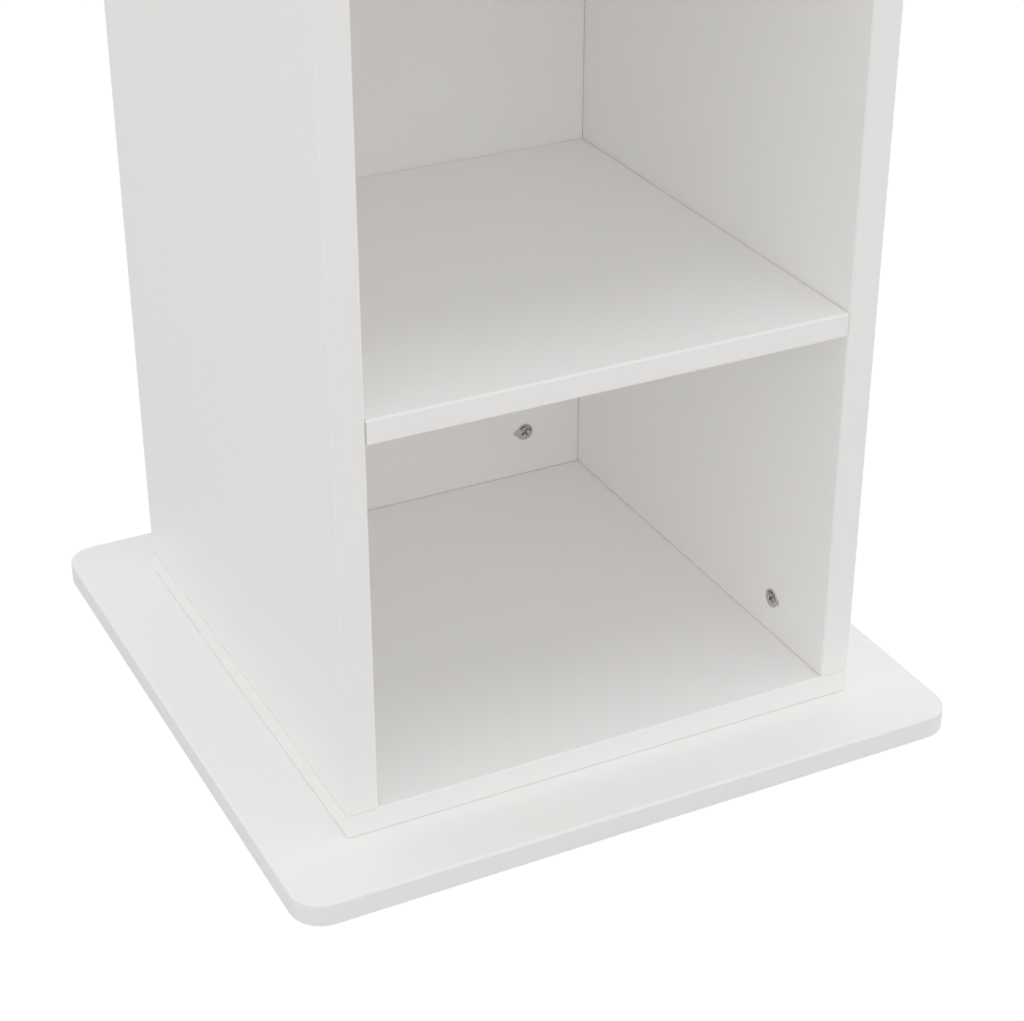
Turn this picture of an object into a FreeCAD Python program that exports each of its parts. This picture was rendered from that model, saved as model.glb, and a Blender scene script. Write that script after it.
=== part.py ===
import FreeCAD, Part
import math
import os
import Sketcher

# A tall narrow cabinet of open shelves, with a mirror on its back, that turns without limit on a flat
# square base.  Millimetres; Z up; the origin is on the floor, on the turning axis.  The open front of
# the cabinet faces -Y at rest.

Vector = FreeCAD.Vector
Rotation = FreeCAD.Rotation

doc = FreeCAD.newDocument("RevolvingCabinet")


# ---------------------------------------------------------------------------------------------------
# Driving dimensions: alias, value, meaning
# ---------------------------------------------------------------------------------------------------

SIZES = (
    ("cabinet_width", 340.5, "outside width of the turning cabinet"),
    ("cabinet_depth", 339, "outside depth, front edge to rear edge of the sides"),
    ("side_height", 1723.5, "height of the side panels, bottom panel to top panel"),
    ("side_board", 19.5, "thickness of the side panels"),
    ("bottom_board", 15, "thickness of the bottom panel"),
    ("top_board", 15, "thickness of the top panel"),
    ("shelf_board", 15, "thickness of a shelf"),
    ("back_board", 12, "thickness of the back panel"),
    ("shelf_count", 6, "number of shelves"),
    ("shelf_clear", 0.15, "gap between a shelf's end and the side panel"),
    ("edge_round", 1.5, "rounding of the front edges"),
    ("arris", 0.5, "small rounding of the edges that meet another board"),
    ("base_side", 438, "side of the square base plate"),
    ("base_board", 15, "thickness of the base plate"),
    ("base_corner", 20, "corner radius of the base plate in plan"),
    ("base_round", 2, "rounding of the base plate's top edge"),
    ("swivel_gap", 0.4, "running gap between the base plate and the cabinet"),
    ("glide_size", 30, "diameter of a floor glide"),
    ("glide_thick", 3, "thickness of a floor glide"),
    ("glide_inset", 36, "base plate edge to the centre of a corner glide"),
    ("mirror_glass", 4, "thickness of the mirror"),
    ("mirror_gap", 1, "gap around the mirror"),
    ("mirror_setback", 0.3, "depth of the mirror's face inside the rear edges"),
    ("mirror_arris", 0.6, "ground edge of the mirror"),
    ("tape_thick", 1, "thickness of the mirror's mounting tape"),
    ("tape_width", 20, "width of a strip of mounting tape"),
    ("tape_margin", 40, "mirror's edge to the middle of the outer strips of tape"),
    ("tape_inset", 60, "distance from the mirror's end to the tape's end"),
    ("outer_flange", 18, "width of the lower ring's flange"),
    ("inner_flange", 31, "width of the upper ring's flange"),
    ("ring_height", 9, "height over both rings of the turntable"),
    ("ring_wall", 9.5, "radial thickness of a ring's race"),
    ("ring_step", 0.3, "gap between a ring and the board that it turns against"),
    ("recess_clear", 1, "radial room around a ring in its recess"),
    ("ball_circle", 193, "diameter of the ring of balls"),
    ("ball_size", 5, "diameter of a ball"),
    ("ball_count", 30, "number of balls"),
    ("race_clear", 0.12, "gap between a ball and its race"),
    ("race_gap", 2, "gap between the two rings"),
    ("cage_wall", 0.9, "radial thickness of the ball cage"),
    ("cage_clear", 0.8, "gap above and below the ball cage"),
    ("pocket_clear", 0.15, "gap between a ball and its pocket in the cage"),
    ("ring_screws", 8, "screws in each ring"),
    ("screw_size", 3.5, "shank diameter of a countersunk screw"),
    ("screw_head", 7, "head diameter of a countersunk screw"),
    ("screw_skin", 1.45, "board left beyond a screw's pilot hole"),
    ("countersink_land", 0.45, "straight part of a ring's screw hole beyond its countersink"),
    ("screw_fit", 0.05, "gap between a screw and its hole"),
    ("cross_width", 0.9, "width of the cross in a screw's head"),
    ("cross_depth", 1.2, "depth of the cross in a screw's head"),
    ("access_hole", 16, "hole in the base plate for driving the upper ring's screws"),
    ("cam_size", 12, "diameter of the hole for a cam"),
    ("cam_fit", 0.1, "gap between a cam and its hole"),
    ("cam_skin", 2, "board left beyond a cam's hole"),
    ("cam_flange", 0.6, "thickness of a cam's flange on the board's face"),
    ("cam_rim", 0.2, "width of a cam's flange outside its hole"),
    ("cam_lug", 4.4, "diameter of the lug on a cam's flange"),
    ("cam_slot_inset", 2.8, "rim of a cam's hole to the ends of its cross slot"),
    ("cam_slot_width", 1.4, "width of the cross slot in a cam"),
    ("cam_slot_depth", 2.2, "depth of the cross slot in a cam"),
    ("cam_window", 1.4, "radial width of the curved recess beside the slot"),
    ("cam_window_inset", 1.6, "rim of a cam's hole to the middle of its curved recess"),
    ("cam_window_depth", 1.2, "depth of the curved recess"),
    ("cam_window_sweep", 140, "angle that the curved recess sweeps, in degrees"),
    ("cam_running", 0.3, "gap around a connecting bolt inside a cam"),
    ("short_reach", 25, "joint to cam centre in the side panels"),
    ("long_reach", 34, "joint to cam centre in the back panel and the shelves"),
    ("side_cam_setback", 60, "front edge to the cam in a side panel"),
    ("back_cam_inset", 44, "side panel to the cam in the back panel"),
    ("shelf_cam_setback", 60, "front and rear edge of a shelf to its cams"),
    ("bolt_thread", 5, "diameter of a connecting bolt's threaded end"),
    ("bolt_grip", 10.5, "length of the threaded end"),
    ("bolt_collar", 7, "diameter of a connecting bolt's collar"),
    ("collar_stand", 0.2, "board's face to a connecting bolt's collar"),
    ("collar_height", 1.8, "height of a connecting bolt's collar"),
    ("bolt_shaft", 5.8, "diameter of a connecting bolt's shaft and head"),
    ("bolt_neck", 3.8, "diameter of a connecting bolt's neck"),
    ("bore_clear", 0.25, "gap around a connecting bolt's collar in its bore"),
    ("dowel_size", 8, "diameter of a dowel"),
    ("slim_dowel_size", 6, "diameter of a dowel in the back panel"),
    ("dowel_fit", 0.05, "gap between a dowel and its hole"),
    ("dowel_grip", 10.5, "length of a dowel in a board's face"),
    ("dowel_reach", 17.5, "length of a dowel in a board's edge"),
    ("dowel_offset", 32, "cam to the front dowel in a side panel"),
    ("back_dowel_rows", 4, "rows of dowels up each edge of the back panel"),
    ("hole_end", 0.5, "room at the blind end of a hole"),
)

# Values worked out from the driving dimensions, as formulas in the same sheet
DERIVED = (
    ("base_top", "glide_thick + base_board"),
    ("cabinet_foot", "base_top + swivel_gap"),
    ("side_foot", "cabinet_foot + bottom_board"),
    ("side_top", "side_foot + side_height"),
    ("inner_width", "cabinet_width - 2 * side_board"),
    ("opening_height", "(side_height - shelf_count * shelf_board) / (shelf_count + 1)"),
    ("shelf_pitch", "opening_height + shelf_board"),
    ("back_face", "cabinet_depth / 2 - mirror_setback - mirror_glass - tape_thick - back_board"),
    ("shelf_depth", "cabinet_depth / 2 + back_face"),
    ("recess_depth", "(ring_height - swivel_gap) / 2"),
    ("race_height", "ring_height / 2"),
    ("outer_wall", "(ball_circle + race_gap) / 2"),
    ("inner_wall", "(ball_circle - race_gap) / 2"),
    ("lower_hub", "outer_wall + ring_wall"),
    ("upper_hub", "inner_wall - ring_wall"),
    ("ring_outer", "2 * (lower_hub + outer_flange)"),
    ("ring_inner", "2 * (upper_hub - inner_flange)"),
    ("ring_flange", "(screw_head - screw_size) / 2 + countersink_land"),
    ("cage_height", "ring_height - 2 * cage_clear"),
    ("lower_screw_circle", "(lower_hub + ring_outer / 2) / 2"),
    ("upper_screw_circle", "(upper_hub + ring_inner / 2) / 2"),
    ("screw_bite", "min(base_board; bottom_board) - recess_depth - screw_skin"),
    ("screw_length", "screw_bite - hole_end + ring_flange"),
    ("side_cam_line", "side_cam_setback - cabinet_depth / 2"),
    ("cam_axis_depth", "back_board / 2"),
    ("side_bolt_line", "inner_width / 2 + cam_axis_depth"),
    ("side_dowel_line", "inner_width / 2 + side_board / 2"),
    ("front_dowel_line", "side_cam_line + dowel_offset"),
    ("rear_dowel_line", "cabinet_depth / 2 - side_cam_setback"),
    ("back_cam_line", "inner_width / 2 - back_cam_inset"),
    ("back_bolt_line", "back_face + cam_axis_depth"),
    ("back_middle", "back_face + back_board / 2"),
    ("shelf_cam_line", "inner_width / 2 - long_reach"),
    ("shelf_front_cam", "shelf_cam_setback - cabinet_depth / 2"),
    ("shelf_rear_cam", "back_face - shelf_cam_setback"),
    ("shelf_dowel_line", "(shelf_front_cam + shelf_rear_cam) / 2"),
    ("shelf_centre", "back_face - shelf_depth / 2"),
    ("back_dowel_pitch", "side_height / back_dowel_rows"),
    ("face_hole", "bolt_grip + hole_end"),
    ("dowel_face_hole", "dowel_grip + hole_end"),
    ("dowel_edge_hole", "dowel_reach + hole_end"),
    ("cam_hole", "min(back_board; shelf_board; side_board) - cam_skin"),
    ("cam_length", "cam_hole - hole_end"),
    ("cam_flange_size", "cam_size + 2 * cam_rim"),
    ("cam_slot_length", "cam_size - 2 * cam_slot_inset"),
    ("cam_window_reach", "cam_size / 2 - cam_window_inset"),
    ("bolt_bore", "bolt_collar + 2 * bore_clear"),
    ("mirror_width", "inner_width - 2 * mirror_gap"),
    ("mirror_height", "side_height - 2 * mirror_gap"),
    ("tape_pitch", "mirror_width / 2 - tape_margin"),
)

sheet = doc.addObject("Spreadsheet::Sheet", "Sizes")
for row, (alias, value, meaning) in enumerate(SIZES, 1):
    sheet.set(f"A{row}", meaning)
    sheet.set(f"B{row}", str(value))
    sheet.setAlias(f"B{row}", alias)
for row, (alias, formula) in enumerate(DERIVED, len(SIZES) + 2):
    sheet.set(f"A{row}", alias.replace("_", " "))
    sheet.set(f"B{row}", "=" + formula)
    sheet.setAlias(f"B{row}", alias)
doc.recompute()

ALIASES = [entry[0] for entry in SIZES + DERIVED]
NODES = []


# ---------------------------------------------------------------------------------------------------
# Helpers
# ---------------------------------------------------------------------------------------------------

def sized(expression):
    """Give each alias in an expression the name of its sheet."""
    words = expression.replace("(", "( ").replace(")", " )").replace("-", "- ").split(" ")
    return " ".join(f"Sizes.{word}" if word in ALIASES else word for word in words)


def size(expression):
    """Today's value of an expression."""
    return float(sheet.evalExpression(sized(expression)))


def bind(item, **properties):
    """Bind properties to expressions; a double underscore stands for a dot."""
    for name, expression in properties.items():
        item.setExpression(name.replace("__", "."), sized(expression))


def place(item, x="0", y="0", z="0"):
    bind(item, Placement__Base__x=x, Placement__Base__y=y, Placement__Base__z=z)


def new_body(label, node=True):
    body = doc.addObject("PartDesign::Body", label)
    body.Label = label
    body.AllowCompound = True
    if node:
        NODES.append(body)
    return body


def origin_item(body, role):
    return next(item for item in body.Origin.OriginFeatures if item.Role == role)


def new_sketch(body, name, plane, offset="0"):
    """A sketch parallel to one of the body's own planes: XY, XZ or YZ."""
    sketch = body.newObject("Sketcher::SketchObject", name)
    sketch.AttachmentSupport = (origin_item(body, plane + "_Plane"), [""])
    sketch.MapMode = "FlatFace"
    bind(sketch, AttachmentOffset__Base__z=offset)
    return sketch


def fix_point(sketch, geometry, vertex, point):
    """Tie one point of a sketch to its two coordinates."""
    for kind, axis, expression in (("DistanceX", -2, point[0]), ("DistanceY", -1, point[1])):
        if expression == "0":
            sketch.addConstraint(Sketcher.Constraint("PointOnObject", geometry, vertex, axis))
        else:
            rule = Sketcher.Constraint(kind, -1, 1, geometry, vertex, size(expression))
            number = sketch.addConstraint(rule)
            sketch.setExpression(f"Constraints[{number}]", sized(expression))


def outline(sketch, points):
    """A closed outline of straight lines through the given points."""
    spots = [Vector(size(across), size(up), 0) for across, up in points]
    first = sketch.GeometryCount
    count = len(points)
    for index in range(count):
        sketch.addGeometry(Part.LineSegment(spots[index], spots[(index + 1) % count]), False)
    for index in range(count):
        line = first + index
        following = first + (index + 1) % count
        sketch.addConstraint(Sketcher.Constraint("Coincident", line, 2, following, 1))
        fix_point(sketch, line, 1, points[index])


def rectangle(sketch, width, height):
    """A rectangle centred on the sketch's origin."""
    right, top = f"({width}) / 2", f"({height}) / 2"
    left, bottom = f"0 - {right}", f"0 - {top}"
    outline(sketch, ((left, bottom), (right, bottom), (right, top), (left, top)))


def circles(sketch, diameter, centres):
    for point in centres:
        spot = Vector(size(point[0]), size(point[1]), 0)
        number = sketch.addGeometry(Part.Circle(spot, Vector(0, 0, 1), size(diameter) / 2), False)
        rule = sketch.addConstraint(Sketcher.Constraint("Diameter", number, size(diameter)))
        sketch.setExpression(f"Constraints[{rule}]", sized(diameter))
        fix_point(sketch, number, 3, point)


def pad(body, name, sketch, length, backwards=False):
    feature = body.newObject("PartDesign::Pad", name)
    feature.Profile = sketch
    feature.Reversed = backwards
    bind(feature, Length=length)
    finish_feature(body, feature)
    return feature


def pocket(body, name, sketch, depth, forwards=False):
    """Cut a sketch into the body: against the sketch's normal, or along it when forwards."""
    before = body.Shape.Volume
    feature = body.newObject("PartDesign::Pocket", name)
    feature.Profile = sketch
    feature.Reversed = forwards
    bind(feature, Length=depth)
    finish_feature(body, feature)
    if body.Shape.Volume > before - 1:
        raise RuntimeError(f"{body.Label}: {name} cuts nothing")
    return feature


def revolve(body, name, sketch, cut=False, angle="360"):
    """Turn a sketch on the XZ plane about the body's Z axis."""
    before = body.Shape.Volume if cut else 0
    feature = body.newObject("PartDesign::Groove" if cut else "PartDesign::Revolution", name)
    feature.Profile = sketch
    feature.ReferenceAxis = (sketch, ["V_Axis"])
    bind(feature, Angle=angle)
    finish_feature(body, feature)
    if cut and body.Shape.Volume > before - 1:
        raise RuntimeError(f"{body.Label}: {name} cuts nothing")
    return feature


def primitive(body, kind, name, at, turn=None, **properties):
    """An additive or subtractive primitive at a point of the body's frame."""
    feature = body.newObject("PartDesign::" + kind, name)
    feature.AttachmentSupport = (origin_item(body, "XY_Plane"), [""])
    feature.MapMode = "FlatFace"
    if turn:
        feature.AttachmentOffset = FreeCAD.Placement(Vector(), turn)
    bind(feature, AttachmentOffset__Base__x=at[0], AttachmentOffset__Base__y=at[1])
    bind(feature, AttachmentOffset__Base__z=at[2], **properties)
    finish_feature(body, feature)
    return feature


def ring_of(body, name, originals, count):
    """Repeat features evenly about the body's Z axis."""
    pattern = body.newObject("PartDesign::PolarPattern", name)
    pattern.Originals = originals
    pattern.Axis = (origin_item(body, "Z_Axis"), [""])
    pattern.Angle = 360
    bind(pattern, Occurrences=count)
    finish_feature(body, pattern)


def row_of(body, name, originals, count, pitch):
    """Repeat features upwards at a pitch."""
    pattern = body.newObject("PartDesign::LinearPattern", name)
    pattern.Originals = originals
    pattern.Direction = (origin_item(body, "Z_Axis"), [""])
    pattern.Mode = "Spacing"
    bind(pattern, Occurrences=count, Offset=pitch)
    finish_feature(body, pattern)


def finish_feature(body, feature):
    body.Tip = feature
    doc.recompute()


def edges_along(body, axis, **sides):
    """Names of the straight edges along an axis that lie on the named sides (-1 or 1) of the body."""
    shape = body.Tip.Shape
    box = shape.BoundBox
    ends = {"x": (box.XMin, box.XMax), "y": (box.YMin, box.YMax), "z": (box.ZMin, box.ZMax)}
    names = []
    for number, edge in enumerate(shape.Edges, 1):
        if edge.Degenerated or edge.Curve.TypeId != "Part::GeomLine":
            continue
        if abs(getattr(edge.tangentAt(edge.FirstParameter), axis)) < 0.999:
            continue
        middle = edge.CenterOfMass
        misses = [abs(getattr(middle, key) - ends[key][side > 0]) for key, side in sides.items()]
        if all(miss < 0.01 for miss in misses):
            names.append(f"Edge{number}")
    return names


def edges_at_height(body, height):
    """Names of the edges that lie in a level plane."""
    return [f"Edge{number}" for number, edge in enumerate(body.Tip.Shape.Edges, 1)
            if abs(edge.BoundBox.ZMin - height) < 0.01 and abs(edge.BoundBox.ZMax - height) < 0.01]


def soften(body, name, radius, edges, kind="Fillet"):
    """Round or chamfer edges of the body."""
    if not edges:
        raise RuntimeError(f"{body.Label}: {name} finds no edge")
    base = body.Tip
    feature = body.newObject("PartDesign::" + kind, name)
    feature.Base = (base, edges)
    bind(feature, **{"Radius" if kind == "Fillet" else "Size": radius})
    finish_feature(body, feature)


def board(label, width, depth, height):
    """A square-edged board, centred on its own Z axis and standing on its own XY plane."""
    body = new_body(label)
    sketch = new_sketch(body, label + "_plan", "XY")
    rectangle(sketch, width, depth)
    pad(body, label + "_blank", sketch, height)
    return body


def drill(body, name, plane, offset, diameter, depth, centres, forwards=False):
    """Blind round holes from a plane parallel to one of the body's own planes."""
    sketch = new_sketch(body, f"{body.Label}_{name}_marks", plane, offset)
    circles(sketch, diameter, centres)
    return pocket(body, f"{body.Label}_{name}", sketch, depth, forwards)


CENTRE = (("0", "0"),)


def both_sides(across, up):
    """A point and its mirror image to the left."""
    return ((f"0 - ({across})", up), (across, up))


# ---------------------------------------------------------------------------------------------------
# Base: plate, floor glides
# ---------------------------------------------------------------------------------------------------

def make_base_plate():
    """A square plate with rounded corners, recessed for the turntable."""
    body = board("base_plate", "base_side", "base_side", "base_board")
    soften(body, "base_corners", "base_corner", edges_along(body, "z"))
    soften(body, "base_top_round", "base_round", edges_at_height(body, size("base_board")))
    soften(body, "base_bottom_arris", "arris", edges_at_height(body, 0))
    drill(body, "recess", "XY", "base_board", "ring_outer + recess_clear", "recess_depth", CENTRE)
    pilot = drill(body, "pilot", "XY", "base_board - recess_depth", "screw_size + 2 * screw_fit",
                  "screw_bite", (("lower_screw_circle", "0"),))
    ring_of(body, "pilots", [pilot], "ring_screws")
    drill(body, "access", "XY", "base_board", "access_hole", "base_board",
          (("0 - upper_screw_circle", "0"),))
    place(body, z="glide_thick")


def make_floor_glides():
    """Round soft glides under the corners and the middle of the base plate."""
    body = new_body("floor_glides")
    sketch = new_sketch(body, "glide_plan", "XY")
    reach = "base_side / 2 - glide_inset"
    corners = both_sides(reach, reach) + both_sides(reach, f"0 - ({reach})")
    circles(sketch, "glide_size", CENTRE + corners)
    pad(body, "glide_pads", sketch, "glide_thick")
    soften(body, "glide_edges", "arris", edges_at_height(body, 0))


# ---------------------------------------------------------------------------------------------------
# Turntable: two rings with a race of caged balls between them
# ---------------------------------------------------------------------------------------------------

def make_ring(label, flange_edge, hub_edge, wall, ends, flange, screw_circle, heads_up):
    """One ring of the turntable: a flat flange on a hub with the ball race turned into its wall.  The
    flange is at the ring's lower end with its screw heads up, or at its upper end with them down."""
    body = new_body(label)
    far, near = (ends[1], ends[0]) if heads_up else ends
    head_face, back_face = (flange[1], flange[0]) if heads_up else flange
    profile = new_sketch(body, label + "_profile", "XZ")
    outline(profile, ((flange_edge, back_face), (flange_edge, head_face), (hub_edge, head_face),
                      (hub_edge, far), (wall, far), (wall, near)))
    revolve(body, label + "_blank", profile)
    race = new_sketch(body, label + "_race_section", "XZ")
    circles(race, "ball_size + 2 * race_clear", (("ball_circle / 2", "race_height"),))
    revolve(body, label + "_race", race, cut=True)
    hole = drill(body, "screw_hole", "XY", flange[1], "screw_size + 2 * screw_fit", "ring_flange",
                 ((screw_circle, "0"),))
    ring_of(body, label + "_screw_holes", [hole], "ring_screws")
    rim_length = math.pi * size("screw_size + 2 * screw_fit")
    level = edges_at_height(body, size(head_face))
    rims = [name for name in level if abs(body.Tip.Shape.getElement(name).Length - rim_length) < 0.01]
    soften(body, label + "_countersinks", "(screw_head - screw_size) / 2 + screw_fit", rims, "Chamfer")
    place(body, z="base_top - recess_depth")


def make_turntable_rings():
    make_ring("turntable_lower_ring", "ring_outer / 2", "lower_hub", "outer_wall",
              ("0", "ring_height - ring_step"), ("0", "ring_flange"), "lower_screw_circle", heads_up=True)
    make_ring("turntable_upper_ring", "ring_inner / 2", "upper_hub", "inner_wall",
              ("ring_step", "ring_height"), ("ring_height - ring_flange", "ring_height"),
              "upper_screw_circle", heads_up=False)


def make_balls():
    body = new_body("bearing_balls")
    ball = primitive(body, "AdditiveSphere", "ball", ("ball_circle / 2", "0", "0"), Radius="ball_size / 2")
    ring_of(body, "ring_of_balls", [ball], "ball_count")
    place(body, z="base_top - recess_depth + race_height")


def make_ball_cage():
    """A plain hoop with one round pocket for each ball."""
    body = new_body("ball_cage")
    sketch = new_sketch(body, "cage_plan", "XY", "0 - cage_height / 2")
    half_pitch = Rotation(Vector(0, 0, 1), 180 / size("ball_count"))
    sketch.AttachmentOffset = FreeCAD.Placement(Vector(), half_pitch)
    circles(sketch, "ball_circle + cage_wall", CENTRE)
    circles(sketch, "ball_circle - cage_wall", CENTRE)
    pad(body, "cage_hoop", sketch, "cage_height")
    outwards = Rotation(Vector(0, 1, 0), 90)
    hole = primitive(body, "SubtractiveCylinder", "cage_pocket", ("ball_circle / 2 - cage_wall", "0", "0"),
                     outwards, Radius="ball_size / 2 + pocket_clear", Height="2 * cage_wall")
    ring_of(body, "cage_pockets", [hole], "ball_count")
    place(body, z="base_top - recess_depth + race_height")


def make_ring_screws(label, screw_circle, point_down):
    """A ring of countersunk screws, head faces at the body's XY plane."""
    body = new_body(label)
    sign = "0 - " if point_down else ""
    radius, head = "screw_size / 2", "screw_head / 2"
    profile = new_sketch(body, label + "_profile", "XZ")
    outline(profile, (
        (f"{screw_circle}", "0"),
        (f"{screw_circle} + {head}", "0"),
        (f"{screw_circle} + {radius}", f"{sign}({head} - {radius})"),
        (f"{screw_circle} + {radius}", f"{sign}(screw_length - screw_size)"),
        (f"{screw_circle}", f"{sign}screw_length")))
    feature = body.newObject("PartDesign::Revolution", label + "_screw")
    feature.Profile = profile
    axis = len(profile.Geometry)
    feature.ReferenceAxis = (profile, [f"Edge{axis}"])
    feature.Angle = 360
    finish_feature(body, feature)
    slot = new_sketch(body, label + "_slot_plan", "XY")
    half_long, half_wide = "screw_size / 2", "cross_width / 2"
    near, far = f"{screw_circle} - {half_long}", f"{screw_circle} + {half_long}"
    left, right = f"{screw_circle} - {half_wide}", f"{screw_circle} + {half_wide}"
    low, high = f"0 - {half_wide}", half_wide
    bottom, top = f"0 - {half_long}", half_long
    outline(slot, ((near, low), (left, low), (left, bottom), (right, bottom), (right, low), (far, low),
                   (far, high), (right, high), (right, top), (left, top), (left, high), (near, high)))
    cross = pocket(body, label + "_slot", slot, "cross_depth", forwards=not point_down)
    ring_of(body, label + "_ring", [feature, cross], "ring_screws")
    height = "ring_flange" if point_down else "ring_height - ring_flange"
    place(body, z=f"base_top - recess_depth + {height}")


# ---------------------------------------------------------------------------------------------------
# Boards of the cabinet
# ---------------------------------------------------------------------------------------------------

def drill_end_panel(body, offset, forwards):
    """Holes in the face of the bottom or top panel for what joins it to the sides and the back."""
    bolts = both_sides("side_bolt_line", "side_cam_line") + both_sides("back_cam_line", "back_bolt_line")
    front_dowels = both_sides("side_dowel_line", "front_dowel_line")
    rear_dowels = both_sides("side_dowel_line", "rear_dowel_line")
    drill(body, "bolt_holes", "XY", offset, "bolt_thread", "face_hole", bolts, forwards)
    drill(body, "dowel_holes", "XY", offset, "dowel_size", "dowel_face_hole",
          front_dowels + rear_dowels, forwards)
    drill(body, "back_dowel_hole", "XY", offset, "slim_dowel_size", "dowel_face_hole",
          (("0", "back_middle"),), forwards)


def make_bottom_panel():
    body = board("bottom_panel", "cabinet_width", "cabinet_depth", "bottom_board")
    front = edges_along(body, "x", y=-1, z=1)
    corners = edges_along(body, "z", y=-1) + edges_along(body, "z", y=1)
    soften(body, "bottom_rounds", "edge_round", front + corners)
    drill(body, "recess", "XY", "0", "2 * lower_hub + 2 * recess_clear", "recess_depth", CENTRE, True)
    pilot = drill(body, "pilot", "XY", "recess_depth", "screw_size + 2 * screw_fit", "screw_bite",
                  (("upper_screw_circle", "0"),), True)
    ring_of(body, "bottom_pilots", [pilot], "ring_screws")
    drill_end_panel(body, "bottom_board", forwards=False)
    place(body, z="cabinet_foot")


def make_top_panel():
    body = board("top_panel", "cabinet_width", "cabinet_depth", "top_board")
    corners = edges_along(body, "z")
    soften(body, "top_corner_rounds", "edge_round", corners)
    soften(body, "top_rounds", "edge_round", edges_at_height(body, size("top_board")))
    soften(body, "top_front_round", "edge_round", edges_along(body, "x", y=-1, z=-1))
    drill_end_panel(body, "0", forwards=True)
    place(body, z="side_top")


def make_side_panel(label, side):
    """A side panel; side is 1 on the right and -1 on the left."""
    body = board(label, "side_board", "cabinet_depth", "side_height")
    inner = "0 - " if side > 0 else ""
    soften(body, label + "_front", "edge_round", edges_along(body, "z"))
    feet = edges_along(body, "y", x=-side, z=-1) + edges_along(body, "y", x=-side, z=1)
    soften(body, label + "_inner_ends", "arris", feet, "Chamfer")
    bolt = ((f"{inner}(side_board / 2 - cam_axis_depth)", "side_cam_line"),)
    dowels = (("0", "front_dowel_line"), ("0", "rear_dowel_line"))
    for end, offset, forwards in (("foot", "0", True), ("head", "side_height", False)):
        drill(body, end + "_bolt_bore", "XY", offset, "bolt_bore", "short_reach", bolt, forwards)
        drill(body, end + "_dowel_holes", "XY", offset, "dowel_size", "dowel_edge_hole", dowels, forwards)
    face = f"{inner}side_board / 2"
    into = side > 0
    cams = (("side_cam_line", "short_reach"), ("side_cam_line", "side_height - short_reach"))
    drill(body, "cam_holes", "YZ", face, "cam_size", "cam_hole", cams, into)
    height = "opening_height + cam_axis_depth"
    bolts = drill(body, "shelf_bolt_holes", "YZ", face, "bolt_thread", "face_hole",
                  (("shelf_front_cam", height), ("shelf_rear_cam", height)), into)
    pin = drill(body, "shelf_dowel_hole", "YZ", face, "dowel_size", "dowel_face_hole",
                (("shelf_dowel_line", "opening_height + shelf_board / 2"),), into)
    row_of(body, label + "_shelf_rows", [bolts, pin], "shelf_count", "shelf_pitch")
    back = drill(body, "back_dowel_holes", "YZ", face, "slim_dowel_size", "dowel_face_hole",
                 (("back_middle", "back_dowel_pitch / 2"),), into)
    row_of(body, label + "_back_rows", [back], "back_dowel_rows", "back_dowel_pitch")
    place(body, x="side_dowel_line" if side > 0 else "0 - side_dowel_line", z="side_foot")


def make_back_panel():
    """The back panel, between the sides, with the cams in its inner face."""
    body = board("back_panel", "inner_width", "back_board", "side_height")
    rims = edges_along(body, "z", y=-1) + edges_along(body, "x", y=-1)
    soften(body, "back_arris", "arris", rims, "Chamfer")
    bolt = "cam_axis_depth - back_board / 2"
    cams = (both_sides("back_cam_line", "long_reach")
            + both_sides("back_cam_line", "side_height - long_reach"))
    for end, offset, forwards in (("foot", "0", True), ("head", "side_height", False)):
        drill(body, end + "_bolt_bores", "XY", offset, "bolt_bore", "long_reach",
              both_sides("back_cam_line", bolt), forwards)
        drill(body, end + "_dowel_hole", "XY", offset, "slim_dowel_size", "dowel_edge_hole",
              CENTRE, forwards)
    drill(body, "cam_holes", "XZ", "back_board / 2", "cam_size", "cam_hole", cams)
    edges = (("left", "0 - inner_width / 2", True), ("right", "inner_width / 2", False))
    for edge, offset, forwards in edges:
        hole = drill(body, edge + "_dowel_hole", "YZ", offset, "slim_dowel_size", "dowel_edge_hole",
                     (("0", "back_dowel_pitch / 2"),), forwards)
        row_of(body, edge + "_dowel_row", [hole], "back_dowel_rows", "back_dowel_pitch")
    place(body, y="back_middle", z="side_foot")


def make_shelf(number):
    """A fixed shelf, held by cams let into its underside."""
    label = f"shelf_{number}"
    length = "inner_width - 2 * shelf_clear"
    body = board(label, length, "shelf_depth", "shelf_board")
    soften(body, label + "_front", "edge_round", edges_along(body, "x", y=-1))
    ends = edges_along(body, "y") + edges_along(body, "x", y=1)
    soften(body, label + "_ends", "arris", ends, "Chamfer")
    front, rear = "shelf_front_cam - shelf_centre", "shelf_rear_cam - shelf_centre"
    cams = both_sides("shelf_cam_line", front) + both_sides("shelf_cam_line", rear)
    drill(body, "cam_holes", "XY", "0", "cam_size", "cam_hole", cams, True)
    bores = ((front, "cam_axis_depth"), (rear, "cam_axis_depth"))
    pin = (("shelf_dowel_line - shelf_centre", "shelf_board / 2"),)
    half = f"({length}) / 2"
    for end, offset, forwards in (("left", f"0 - {half}", True), ("right", half, False)):
        drill(body, end + "_bolt_bores", "YZ", offset, "bolt_bore", "long_reach", bores, forwards)
        drill(body, end + "_dowel_hole", "YZ", offset, "dowel_size", "dowel_edge_hole", pin, forwards)
    place(body, y="shelf_centre", z=f"side_foot + {number} * shelf_pitch - shelf_board")


# ---------------------------------------------------------------------------------------------------
# Mirror
# ---------------------------------------------------------------------------------------------------

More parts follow.
